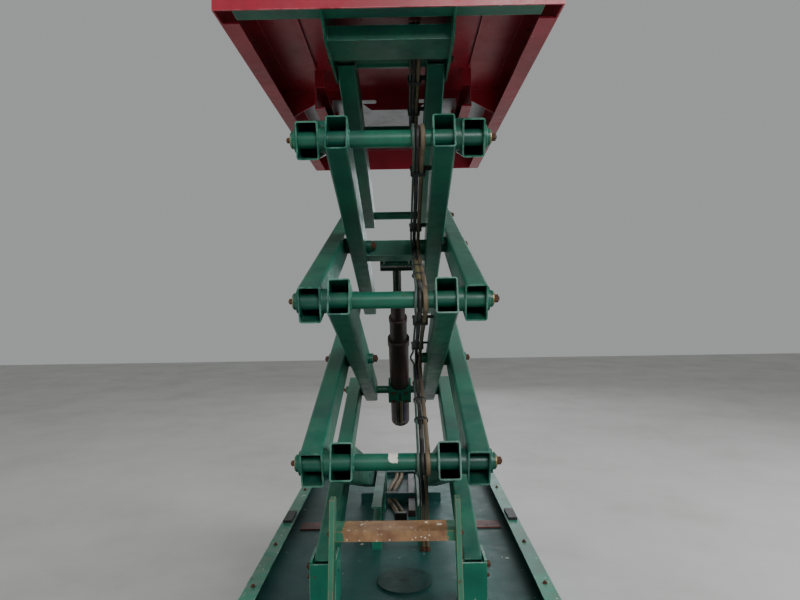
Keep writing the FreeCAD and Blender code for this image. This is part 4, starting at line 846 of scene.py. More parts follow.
class PaintShop:
    """Gives every node and every piece its finish."""

    NODES = (
        ("tyre_", Finish.TYRE), ("rim_", Finish.RIM), ("chassis_rails", Finish.GREEN_SPLASHED),
        ("chassis_tray", Finish.GREEN_TRAY), ("chassis_beams", Finish.BLACK),
        ("arm_brackets", Finish.GREEN_SPLASHED), ("lower_tracks", Finish.GREEN_SPLASHED),
        ("tray_fittings", Finish.FITTINGS), ("battery_housing", Finish.HOUSING),
        ("hydraulic_housing", Finish.HOUSING), ("ladder", Finish.STEP), ("axle_", Finish.BLACK),
        ("knuckle_", Finish.BLACK), ("outer_arms_", Finish.GREEN), ("inner_arms_", Finish.GREEN),
        ("cylinder_rod", Finish.ROD), ("cylinder_", Finish.CYLINDER), ("platform_frame", Finish.RED),
        ("deck_sheet", Finish.RED), ("deck_far_sheet", Finish.ALUMINIUM), ("top_bracket", Finish.GREEN),
        ("upper_tracks", Finish.RED), ("guardrail_", Finish.RED_RAIL), ("gate", Finish.RED_RAIL),
        ("extension_deck", Finish.TREAD_PLATE), ("extension_guardrail", Finish.RED_RAIL),
        ("control_box", Finish.PLASTIC), ("hose_", Finish.HOSE),
    )

    def __init__(self) -> None:
        """Make each finish's material once."""
        self.materials = {finish: finish.value.make() for finish in Finish}

    def dress(self, piece: bpy.types.Object, finish: Finish) -> None:
        """Give one piece one finish."""
        piece.data.materials.clear()
        piece.data.materials.append(self.materials[finish])

    def dress_nodes(self, nodes: dict[str, bpy.types.Object]) -> None:
        """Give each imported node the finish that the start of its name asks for.

        Args:
            nodes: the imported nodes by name.
        """
        for name, item in nodes.items():
            finish = next((chosen for start, chosen in self.NODES if name.startswith(start)), Finish.BLACK)
            self.dress(item, finish)
            LOG.info("node %s: %s", name, finish.name)

    def fit(self, piece: bpy.types.Object, finish: Finish, body: str) -> bpy.types.Object:
        """Finish a new piece and mount it on a body.

        Args:
            piece: the new piece.
            finish: its finish.
            body: the body that it moves with.

        Returns:
            The piece.
        """
        self.dress(piece, finish)
        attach(piece, body)
        LOG.info("piece %s on %s: %s", piece.name, body, finish.name)
        return piece

    def bridge(self, piece: bpy.types.Object, finish: Finish, bodies: tuple[str, str],
               span: tuple[Vector, Vector]) -> bpy.types.Object:
        """Finish a new piece that runs between two bodies, and leave it baked in place, on neither of them.

        Args:
            piece: the new piece.
            finish: its finish.
            bodies: the body before the bend and the one past it.
            span: where the bend starts and ends; not used.

        Returns:
            The piece.
        """
        self.dress(piece, finish)
        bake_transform(piece)
        LOG.info("piece %s from %s to %s: %s", piece.name, *bodies, finish.name)
        return piece


class Linkage:
    """Pivots of the scissor stack and the cylinder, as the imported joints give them."""

    STAGES = 4
    RIGHT_ANGLE = Matrix.Rotation(math.pi / 2, 3, "X")

    def __init__(self, joints: list[dict]) -> None:
        """Read the pivots and the cylinder's axis.

        Args:
            joints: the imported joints.
        """
        self.pivots = {joint["name"]: Vector(joint["pos_m"]) for joint in joints if "pos_m" in joint}
        axes = {joint["name"]: Vector(joint["axis"]) for joint in joints}
        self.collar = self.pivots["cylinder_tilt"]
        self.cylinder_way = axes["cylinder_slide_1"]

    @staticmethod
    def inner(stage: int) -> str:
        """Name of a stage's inner arm body."""
        return "inner_%d" % stage

    @staticmethod
    def outer(stage: int) -> str:
        """Name of a stage's outer arm body."""
        return "outer_%d" % stage

    def near(self, level: int) -> Vector:
        """The near pivot over a stage, or the one on the chassis for 0."""
        if level == 0:
            return self.pivots["lift"]
        return self.pivots["platform_level" if level == self.STAGES else "end_%d" % level]

    def centre(self, stage: int) -> Vector:
        """A stage's centre pivot."""
        return self.pivots["centre_%d" % stage]

    def far(self, stage: int) -> Vector:
        """The far pivot over a stage, as high as the near one; the collar hangs on the first."""
        return self.collar + (self.near(stage) - self.near(1)).z * UP

    def inner_way(self, stage: int) -> Vector:
        """The way along an inner arm, from its near pivot to its centre."""
        return (self.centre(stage) - self.near(stage)).normalized()

    def outer_way(self, stage: int) -> Vector:
        """The way along an outer arm, from its near pivot to its centre."""
        return (self.centre(stage) - self.near(stage - 1)).normalized()


@dataclass
class PivotFittings:
    """Washers, bolts and weld beads at the scissor stack's pins."""

    shop: PaintShop
    linkage: Linkage
    shaft_end: float = 337 * MM
    near_radius: float = 29 * MM
    far_radius: float = 24 * MM
    inner_face: float = 143 * MM
    outer_faces: tuple[float, float] = (241 * MM, 317 * MM)
    pin_inside: float = 119 * MM
    pin_outside: float = 331 * MM
    inside_flats: float = 30 * MM
    outside_flats: float = 24 * MM
    shaft_flats: tuple[float, float] = (17 * MM, 24 * MM)
    washer_thickness: float = 4 * MM
    washer_step: float = 4 * MM
    bead: float = 4.5 * MM
    ripple: float = 0.15

    def build(self) -> None:
        """Build every stage's fittings."""
        for stage in range(1, Linkage.STAGES + 1):
            self.near_shaft(stage)
            if stage < Linkage.STAGES:
                self.far_shaft(stage)
            # the pins of the first and the last stage end low, beside the tracks, and have no bolts
            if 1 < stage < Linkage.STAGES:
                self.centre_pins(stage)

    def plated_ends(self, word: str, body: str, centre: Vector, radius: float) -> None:
        """Fit a plated washer and a rusty bolt to both ends of a shaft.

        Args:
            word: what the pieces' names start with.
            body: the arm pair that carries the shaft.
            centre: the shaft's middle.
            radius: radius of the shaft.
        """
        plates, bolts = Bench(), Bench()
        for (_, side), across_flats in zip(SIDES, self.shaft_flats):
            out = ACROSS * side
            end = centre + out * self.shaft_end
            plates.turned(end, out, radius - self.washer_step, self.washer_thickness, 28)
            bolts.bolt(end + out * self.washer_thickness, out, across_flats)
        self.shop.fit(plates.piece("%s_washers_%s" % (word, body)), Finish.ZINC, body)
        self.shop.fit(bolts.piece("%s_bolts_%s" % (word, body)), Finish.RUSTY, body)

    def near_shaft(self, stage: int) -> None:
        """The ends and welds of the shaft that an inner pair carries at its near ends.

        Args:
            stage: which stage.
        """
        centre, body = self.linkage.near(stage), Linkage.inner(stage)
        if stage < Linkage.STAGES:
            self.plated_ends("shaft", body, centre, self.near_radius)
        welds = Bench()
        for _, side in SIDES:
            welds.ring(centre + ACROSS * side * self.inner_face, ACROSS, self.near_radius, self.bead,
                       ripple=self.ripple)
        self.shop.fit(welds.piece("shaft_welds_%s" % body), Finish.GREEN, body)

    def far_shaft(self, stage: int) -> None:
        """The ends and welds of the shaft that an outer pair carries at its far ends.

        Args:
            stage: which stage.
        """
        centre, body = self.linkage.far(stage), Linkage.outer(stage)
        self.plated_ends("far", body, centre, self.far_radius)
        welds = Bench()
        for _, side in SIDES:
            for face in self.outer_faces:
                welds.ring(centre + ACROSS * side * face, ACROSS, self.far_radius, self.bead,
                           ripple=self.ripple)
        self.shop.fit(welds.piece("far_welds_%s" % body), Finish.GREEN, body)

    def centre_pins(self, stage: int) -> None:
        """The bolts of the centre pins: outside on both sides, and inside on the side without hoses.

        Args:
            stage: which stage.
        """
        centre, body = self.linkage.centre(stage), Linkage.outer(stage)
        bolts = Bench()
        for _, side in SIDES:
            bolts.bolt(centre + ACROSS * side * self.pin_outside, ACROSS * side, self.outside_flats)
        bolts.bolt(centre - ACROSS * self.pin_inside, ACROSS, self.inside_flats)
        self.shop.fit(bolts.piece("centre_bolts_%s" % body), Finish.RUSTY, body)


@dataclass(frozen=True)
class Line:
    """One hose of the bundle: its place across, its radius, its extra reach at the bends and its skin."""

    name: str
    across: float
    radius: float
    slack: float
    finish: Finish


@dataclass
class HoseBundle:
    """The hoses that climb the stack along the right inner and outer arms, looped at every pivot."""

    shop: PaintShop
    linkage: Linkage
    lines: tuple[Line, ...] = (
        Line("inside", 91.5 * MM, 8.5 * MM, 0.0, Finish.HOSE),
        Line("outside", 109.2 * MM, 8.5 * MM, 3 * MM, Finish.OLD_HOSE),
        Line("cable", 77.0 * MM, 4.5 * MM, 8 * MM, Finish.CABLE),
    )
    seed: int = 7
    wander: float = 2.5 * MM
    lean: float = 0.08
    near_wrap: float = 38 * MM
    centre_wrap: float = 34 * MM
    centre_back: float = 29 * MM
    crossing: float = 471 * MM
    bend_room: float = 40 * MM
    stiff_loop: tuple[str, int, int] = ("cable", 2, 3)
    stiff_loop_across: float = 60 * MM
    top_shifts_mm: tuple[tuple[float, float], ...] = ((40, -50), (-46, -30), (-48, 40))
    top_back: float = 60 * MM
    top_below: float = 50 * MM
    deck_gap: float = 4 * MM
    top_span: tuple[float, float] = (-30 * MM, 50 * MM)
    foot_mm: Triple = (0, -222, 391)
    foot_across: float = 20 * MM
    foot_meets: float = 600 * MM
    foot_turn: float = 150 * MM
    foot_run: float = 80 * MM
    foot_sags_mm: tuple[tuple[float, float], ...] = ((0, 22), (-8, -40))
    foot_shares: tuple[float, ...] = (0.0, 0.0, 0.3, 0.8, 1.0, 1.0)
    foot_lead: float = 40 * MM
    foot_span: tuple[float, float] = (60 * MM, 5 * MM)
    drop_lead: float = 60 * MM
    drop_shifts_mm: tuple[tuple[float, float], ...] = ((-14, 90), (0, 30), (0, 0))
    drop_span: tuple[float, float] = (40 * MM, 20 * MM)
    nut_height: float = 12 * MM
    nipple_height: float = 10 * MM
    clamp_share: float = 0.2
    clamp_from_centre: float = 140 * MM
    clamp_block_mm: tuple[Triple, Triple] = ((68, -13, -15), (124, 13, 15))
    clamp_plate_mm: tuple[Triple, Triple] = ((66, -15, 14), (143.5, 15, 18))
    clamp_bolts: tuple[float, float] = (84 * MM, 116 * MM)
    clamp_flats: float = 10 * MM
    sleeved_stage: int = 3
    sleeve_run: tuple[float, ...] = (150 * MM, 400 * MM, 640 * MM)
    sleeves: tuple[tuple[str, float, float, Finish], ...] = (
        ("olive", 91.5 * MM, 11 * MM, Finish.OLIVE_SLEEVE),
        ("tan", 109.2 * MM, 10.5 * MM, Finish.OLD_HOSE),
    )
    tape_shares: tuple[float, ...] = (0.28, 0.5, 0.72)
    tape_across: float = 95 * MM
    tape_size: Triple = (27 * MM, 13 * MM, 22 * MM)
    tape_edge: float = 2 * MM

    def build(self) -> None:
        """Build every bend of every line, and the clamps and ties."""
        chance = random.Random(self.seed)
        upper = range(2, Linkage.STAGES + 1)
        for line in self.lines:
            for stage in range(1, Linkage.STAGES):
                self.near_bend(line, stage, chance)
            for stage in upper:
                self.centre_bend(line, stage, chance)
            self.top_run(line, chance)
            self.foot_bend(line, chance)
            self.drop(line, chance)
            self.union(line)
        for stage in range(1, Linkage.STAGES + 1):
            self.clamps(stage)
        for stage in upper:
            if stage == self.sleeved_stage:
                self.woven_sleeves(stage)
            self.tape(stage)

    def loop(self, hub: Vector, first: Vector, last: Vector, wrap: float) -> list[Vector]:
        """Corners of a line that comes along one arm, turns round a hub and leaves along another.

        Args:
            hub: centre of the turn.
            first: the way from the hub along the arm that the line comes by.
            last: the same for the arm that it leaves by.
            wrap: radius of the turn.

        Returns:
            The points from one straight to the other.
        """
        out = -(first + last).normalized()
        side = (last - first).normalized()
        # the bundle lies over one arm's middle and under the next one's, so it turns a little past square
        half = math.pi / 2 - first.angle(last) / 2 + self.lean
        reach = wrap / math.cos(half / 3)
        spokes = [(-half, wrap), (-half * 2 / 3, reach), (0.0, reach), (half * 2 / 3, reach), (half, wrap)]
        points = [hub + (out * math.cos(angle) + side * math.sin(angle)) * radius for angle, radius in spokes]
        # the first and the last are mirrored past the rim, so that the line runs straight through it
        points[0] = points[0] * 2 - points[1]
        points[4] = points[4] * 2 - points[3]
        return points

    def set_across(self, points: list[Vector], line: Line, chance: random.Random) -> list[Vector]:
        """Put a line's points at its place across, with a little wander between its ends.

        Args:
            points: the points.
            line: which line.
            chance: the bundle's random numbers.

        Returns:
            The points in their place.
        """
        placed = []
        for index, point in enumerate(points):
            inside = 0 < index < len(points) - 1
            sway = chance.uniform(-self.wander, self.wander) if inside else 0.0
            placed.append(Vector((line.across + sway, point.y, point.z)))
        return placed

    def near_bend(self, line: Line, stage: int, chance: random.Random) -> None:
        """A line's bend round the near shaft over a stage, from the middle of one arm to that of the next.

        Args:
            line: which line.
            stage: which stage.
            chance: the bundle's random numbers.
        """
        hub = self.linkage.near(stage)
        first, last = self.linkage.inner_way(stage), self.linkage.outer_way(stage + 1)
        points = self.loop(hub, first, last, self.near_wrap + line.slack)
        points = [hub + first * self.crossing, *points, hub + last * self.crossing]
        piece = smooth_tube("hose_%s_level_%d" % (line.name, stage), self.set_across(points, line, chance),
                            line.radius)
        self.shop.bridge(piece, line.finish, (Linkage.inner(stage), Linkage.outer(stage + 1)),
                         (hub - UP * self.bend_room, hub + UP * self.bend_room))
        if line is self.lines[0]:
            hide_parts("hose_inner_%d" % stage, "hose_outer_%d" % (stage + 1))

    def centre_bend(self, line: Line, stage: int, chance: random.Random) -> None:
        """A line's bend beside a centre pin.

        Args:
            line: which line.
            stage: which stage.
            chance: the bundle's random numbers.
        """
        centre = self.linkage.centre(stage)
        low, high = self.linkage.near(stage - 1), self.linkage.near(stage)
        first, last = -self.linkage.outer_way(stage), -self.linkage.inner_way(stage)
        points = self.loop(centre - ALONG * self.centre_back, first, last, self.centre_wrap - line.slack / 2)
        # the last stage's upper half is the shorter one
        end = centre.lerp(high, 0.5) if stage == Linkage.STAGES else high - last * self.crossing
        points = self.set_across([low - first * self.crossing, *points, end], line, chance)
        name, stiff_stage, corner = self.stiff_loop
        if (line.name, stage) == (name, stiff_stage):
            points[corner].x = self.stiff_loop_across
        piece = smooth_tube("hose_%s_centre_%d" % (line.name, stage), points, line.radius)
        self.shop.bridge(piece, line.finish, (Linkage.outer(stage), Linkage.inner(stage)),
                         (centre - UP * self.bend_room, centre + UP * self.bend_room))

    def top_run(self, line: Line, chance: random.Random) -> None:
        """The last run, from the top inner arm to the underside of the deck.

        Args:
            line: which line.
            chance: the bundle's random numbers.
        """
        pivot, centre = self.linkage.near(Linkage.STAGES), self.linkage.centre(Linkage.STAGES)
        below, above = self.top_span
        deck = Vector((0.0, pivot.y - self.top_back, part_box("platform_frame")[1].z - self.deck_gap))
        points = [centre.lerp(pivot, 0.5), *(pivot + at_mm(0, back, up) for back, up in self.top_shifts_mm),
                  deck - UP * self.top_below, deck]
        piece = smooth_tube("hose_%s_top" % line.name, self.set_across(points, line, chance), line.radius)
        if line is self.lines[0]:
            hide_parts("hose_inner_%d" % Linkage.STAGES)
        self.shop.bridge(piece, line.finish, (Linkage.inner(Linkage.STAGES), "platform"),
                         (pivot + UP * below, pivot + UP * above))

    def meeting(self) -> Vector:
        """Where a line's bend off the lowest arm meets its drop to the tray, before it is set across."""
        return Vector((0.0, at_mm(*self.foot_mm).y, self.foot_meets))

    def foot_bend(self, line: Line, chance: random.Random) -> None:
        """A line's bend off the lowest inner arm, towards the tray.

        Args:
            line: which line.
            chance: the bundle's random numbers.
        """
        way, meet = self.linkage.inner_way(1), self.meeting()
        turn = self.linkage.centre(1) - way * self.foot_turn
        points = [self.linkage.near(1) + way * self.crossing, turn - way * self.foot_run,
                  *(turn + at_mm(0, back, up) for back, up in self.foot_sags_mm),
                  meet + UP * self.foot_lead, meet]
        points = [point + ACROSS * self.foot_across * share
                  for point, share in zip(self.set_across(points, line, chance), self.foot_shares)]
        piece = smooth_tube("hose_%s_bend_1" % line.name, points, line.radius)
        above, below = self.foot_span
        self.shop.bridge(piece, line.finish, (Linkage.outer(1), Linkage.inner(1)),
                         (meet + UP * above, turn - UP * below))

    def drop(self, line: Line, chance: random.Random) -> None:
        """A line's drop to the tray, where the first one is an old hose.

        Args:
            line: which line.
            chance: the bundle's random numbers.
        """
        meet, foot = self.meeting(), at_mm(*self.foot_mm)
        points = [meet, meet - UP * self.drop_lead,
                  *(foot + at_mm(0, back, up) for back, up in self.drop_shifts_mm)]
        points = [point + ACROSS * self.foot_across for point in self.set_across(points, line, chance)]
        piece = smooth_tube("hose_%s_drop" % line.name, points, line.radius)
        above, below = self.drop_span
        self.shop.bridge(piece, Finish.OLD_HOSE if line is self.lines[0] else line.finish,
                         ("chassis", Linkage.outer(1)), (foot + UP * above, meet - UP * below))

    def union(self, line: Line) -> None:
        """The hexagon union and its nipple at a line's foot on the tray.

        Args:
            line: which line.
        """
        seat = Vector((line.across + self.foot_across, self.meeting().y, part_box("tray_fittings")[0].z))
        bench = Bench()
        bench.turned(seat, UP, line.radius * 1.6, self.nut_height, 6)
        bench.turned(seat + UP * self.nut_height, UP, line.radius * 1.2, self.nipple_height)
        self.shop.fit(bench.piece("hose_%s_union" % line.name), Finish.RUSTY, "chassis")

    def swing(self, along: float, length: float) -> float:
        """How far the bundle lies from an arm's middle, from one side at its near end to the other.

        Args:
            along: how far past the near pivot, along the arm.
            length: from the near pivot to the centre.

        Returns:
            The distance, which is positive at the near end.
        """
        return self.near_wrap - (self.near_wrap + self.centre_wrap) * along / (length - self.centre_back)

    def clamps(self, stage: int) -> None:
        """The clamp blocks that hold the bundle to the right inner arm, near both of its bends.

        Args:
            stage: which stage.
        """
        way, body = self.linkage.inner_way(stage), Linkage.inner(stage)
        length = (self.linkage.centre(stage) - self.linkage.near(stage)).length
        lean = Matrix.Rotation(math.atan2(way.z, way.y), 4, "X")
        block, plate = ([at_mm(*corner) for corner in box]
                        for box in (self.clamp_block_mm, self.clamp_plate_mm))
        # the bundle leaves the first arm before its centre, so that arm has one clamp
        places = (self.clamp_share * length, length - self.clamp_from_centre)[:2 if stage > 1 else 1]
        blocks, bolts = Bench(), Bench()
        for along in places:
            middle = self.linkage.near(stage) + way * along
            middle -= Linkage.RIGHT_ANGLE @ way * self.swing(along, length)
            turn = Matrix.Translation(middle) @ lean
            blocks.block(*block, 4 * MM, turn)
            blocks.block(*plate, 1 * MM, turn)
            for across in self.clamp_bolts:
                seat = turn @ Vector((across, 0.0, plate[1].z))
                bolts.bolt(seat, (lean.to_3x3() @ UP).normalized(), self.clamp_flats)
        self.shop.fit(blocks.piece("hose_clamps_%s" % body), Finish.PLASTIC, body)
        self.shop.fit(bolts.piece("hose_clamp_bolts_%s" % body), Finish.RUSTY, body)

    def on_outer_arm(self, stage: int, along: float) -> Vector:
        """A place in the bundle's run on an outer arm, which goes from over its middle to under it.

        Args:
            stage: which stage.
            along: how far past the near pivot, along the arm.

        Returns:
            The place, in the stack's middle plane.
        """
        start, way = self.linkage.near(stage - 1), self.linkage.outer_way(stage)
        length = (self.linkage.centre(stage) - start).length
        return start + way * along + Linkage.RIGHT_ANGLE @ way * self.swing(along, length)

    def woven_sleeves(self, stage: int) -> None:
        """The woven sleeves over two hoses on an outer arm's run.

        Args:
            stage: which stage.
        """
        body = Linkage.outer(stage)
        for word, across, radius, finish in self.sleeves:
            run = [self.on_outer_arm(stage, along) + ACROSS * across for along in self.sleeve_run]
            self.shop.fit(smooth_tube("hose_sleeve_%s" % word, run, radius), finish, body)

    def tape(self, stage: int) -> None:
        """The tape round the bundle on an outer arm's run.

        Args:
            stage: which stage.
        """
        body, way = Linkage.outer(stage), self.linkage.outer_way(stage)
        length = (self.linkage.centre(stage) - self.linkage.near(stage - 1)).length
        bench = Bench()
        for share in self.tape_shares:
            middle = self.on_outer_arm(stage, share * length) + ACROSS * self.tape_across
            bench.drum(facing(middle, way) @ Matrix.Diagonal((*self.tape_size, 1.0)), 1.0, 1.0, 1.0, 24,
                       self.tape_edge)
        self.shop.fit(bench.piece("hose_tape_%s" % body), Finish.HOSE, body)


@dataclass
class CylinderPlumbing:
    """Flange, ports and hoses at the barrel's foot, and the bolts of the collar's caps."""

    shop: PaintShop
    linkage: Linkage
    tail: float = 290 * MM
    flange: Turned = Turned(44, 12, 32)
    plug: Turned = Turned(17, 16, 6, start=12)
    base_bolt: Turned = Turned(7, 8, 6, start=12)
    base_bolt_count: int = 6
    base_bolt_circle: float = 34 * MM
    # back from the collar and out from the barrel's axis: the hoses lie close under the barrel, which
    # swings down to 40 mm above the tray
    course_mm: tuple[tuple[float, float], ...] = (
        (40, 60), (70, 74), (120, 84), (190, 82), (235, 74), (254, 66), (260, 48))
    hoses: tuple[tuple[str, float, float, Finish], ...] = (
        ("tan", 8 * MM, 11 * MM, Finish.OLD_HOSE),
        ("dark", -18 * MM, 11 * MM, Finish.HOSE),
        ("blue", 27 * MM, 4 * MM, Finish.BLUE_HOSE),
    )
    port_mm: tuple[float, float] = (258, 52)
    port_height: float = 12 * MM
    cap_bolt_mm: Triple = (40, 66, 36)
    cap_bolt_flats: float = 14 * MM

    def build(self) -> None:
        """Build the fittings of the barrel."""
        ports = Bench()
        self.barrel_foot(ports)
        self.barrel_hoses(ports)
        self.shop.fit(ports.piece("cylinder_ports"), Finish.ZINC, "cylinder_barrel")
        self.cap_bolts()

    def place(self, back: float, out: float, across: float = 0.0) -> Vector:
        """A place under the barrel.

        Args:
            back: how far from the collar towards the barrel's foot.
            out: how far out from its axis, on its under side.
            across: how far to the right.

        Returns:
            The place.
        """
        way = self.linkage.cylinder_way
        return self.linkage.collar - way * back + Linkage.RIGHT_ANGLE @ way * out + ACROSS * across

    def barrel_foot(self, ports: Bench) -> None:
        """The bolted flange on the barrel's foot, with its plug.

        Args:
            ports: the bench for the plated pieces.
        """
        down, bolts = -self.linkage.cylinder_way, Bench()
        for part in (self.flange, self.plug):
            part.stand(ports, self.place(self.tail, 0.0), down)
        for index in range(self.base_bolt_count):
            angle = math.tau * index / self.base_bolt_count
            out, across = math.sin(angle) * self.base_bolt_circle, math.cos(angle) * self.base_bolt_circle
            self.base_bolt.stand(bolts, self.place(self.tail, out, across), down)
        self.shop.fit(bolts.piece("cylinder_base_bolts"), Finish.RUSTY, "cylinder_barrel")

    def barrel_hoses(self, ports: Bench) -> None:
        """The hoses under the barrel, each with a hexagon union.

        Args:
            ports: the bench for the plated pieces.
        """
        under = Linkage.RIGHT_ANGLE @ self.linkage.cylinder_way
        port_back, port_out = self.port_mm
        for word, across, radius, finish in self.hoses:
            points = [self.place(back * MM, out * MM, across) for back, out in self.course_mm]
            self.shop.fit(smooth_tube("barrel_hose_%s" % word, points, radius), finish, "cylinder_barrel")
            ports.turned(self.place(port_back * MM, port_out * MM, across), under, radius * 1.5,
                         self.port_height, 6)

    def cap_bolts(self) -> None:
        """The four bolts that hold the collar's cap."""
        under, bolts = Linkage.RIGHT_ANGLE @ self.linkage.cylinder_way, Bench()
        across, out, along = (size * MM for size in self.cap_bolt_mm)
        for _, side in SIDES:
            for end in (1, -1):
                bolts.bolt(self.place(along * end, out, across * side), under, self.cap_bolt_flats)
        self.shop.fit(bolts.piece("collar_bolts"), Finish.RUSTY, "cylinder_barrel")


@dataclass
class WheelFittings:
    """Tyres with a road tread, wheel nuts and hub caps."""

    shop: PaintShop
    radius: float = 178 * MM
    rim_radius: float = 118 * MM
    half_width: float = 57.5 * MM
    shoulder: float = 14 * MM
    bead_step: tuple[float, float] = (3 * MM, 8 * MM)
    rib: float = 14 * MM
    channel: float = 9 * MM
    groove: float = 6 * MM
    groove_side: float = 0.8 * MM
    steps: int = 96
    lug_pitch: int = 4
    nut_count: int = 5
    nut_circle: float = 60 * MM
    nut_turn: float = 0.3
    nut_seat: Turned = Turned(13, 3, edge=0.6, start=12)
    nut: Turned = Turned(11, 14, 6, 1.5, 10, start=15)
    hub_cap: Turned = Turned(26, 5, 32, 2, start=40)

    def build(self) -> None:
        """Build the fittings of the four wheels."""
        for axle in ("steer", "fixed"):
            for word, side in SIDES:
                name = "%s_%s" % (axle, word)
                low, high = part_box("tyre_" + name)
                centre = (low + high) / 2
                piece = self.shop.fit(make_object("tread_" + name, self.tyre(centre)), Finish.TYRE,
                                      "wheel_" + name)
                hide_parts("tyre_" + name)
                self.shop.fit(self.nuts(centre, ACROSS * side).piece("wheel_nuts_" + name), Finish.ZINC,
                              "wheel_" + name)

    def nuts(self, centre: Vector, out: Vector) -> Bench:
        """A wheel's nuts, each on its seat, and its hub cap.

        Args:
            centre: the wheel's centre.
            out: the way that the wheel's face looks.

        Returns:
            The bench that they are on.
        """
        bench = Bench()
        for index in range(self.nut_count):
            angle = math.tau * index / self.nut_count + self.nut_turn
            spoke = Vector((0.0, math.cos(angle), math.sin(angle))) * self.nut_circle
            self.nut_seat.stand(bench, centre + spoke, out)
            self.nut.stand(bench, centre + spoke, out)
        self.hub_cap.stand(bench, centre, out)
        return bench

    def tyre(self, centre: Vector) -> bmesh.types.BMesh:
        """Spin the tyre's section and sink its tread grooves.

        Args:
            centre: the wheel's centre.

        Returns:
            The tyre's mesh.
        """
        mesh = bmesh.new()
        half, round_off = self.half_width, self.shoulder
        bead_in, bead_out = self.bead_step
        section = [(half - bead_in, self.rim_radius), (half, self.rim_radius + bead_out),
                   (half, self.radius - round_off * 1.6),
                   (half - round_off * 0.5, self.radius - round_off * 0.5),
                   (half - round_off, self.radius), (self.rib, self.radius), (self.channel, self.radius)]
        section += [(-x, z) for x, z in reversed(section)]
        verts = [mesh.verts.new(centre + Vector((x, 0.0, z))) for x, z in section]
        edges = [mesh.edges.new(pair) for pair in zip(verts, verts[1:] + verts[:1])]
        bmesh.ops.spin(mesh, geom=verts + edges, cent=centre, axis=ACROSS, angle=math.tau, steps=self.steps,
                       use_merge=True)
        bmesh.ops.remove_doubles(mesh, verts=mesh.verts[:], dist=0.01 * MM)
        bmesh.ops.recalc_face_normals(mesh, faces=mesh.faces[:])
        for faces in self.tread(mesh, centre):
            bmesh.ops.inset_region(mesh, faces=faces, thickness=self.groove_side, depth=-self.groove)
        return mesh

    def tread(self, mesh: bmesh.types.BMesh, centre: Vector) -> tuple[list, list]:
        """Find the tread faces that sink: two rings beside the middle, and every few sectors outside them.

        Args:
            mesh: the spun tyre.
            centre: the wheel's centre.

        Returns:
            The rings' faces and the sectors' faces.
        """
        rings, sectors = [], []
        for face in mesh.faces:
            at = face.calc_center_median() - centre
            if math.hypot(at.y, at.z) < self.radius - self.shoulder:
                continue
            sector = int((math.atan2(at.z, at.y) % math.tau) / math.tau * self.steps)
            offset = self.lug_pitch // 2 if at.x > 0 else 0
            if self.channel < abs(at.x) < self.rib:
                rings.append(face)
            elif abs(at.x) > self.rib and (sector + offset) % self.lug_pitch == 0:
                sectors.append(face)
        return rings, sectors


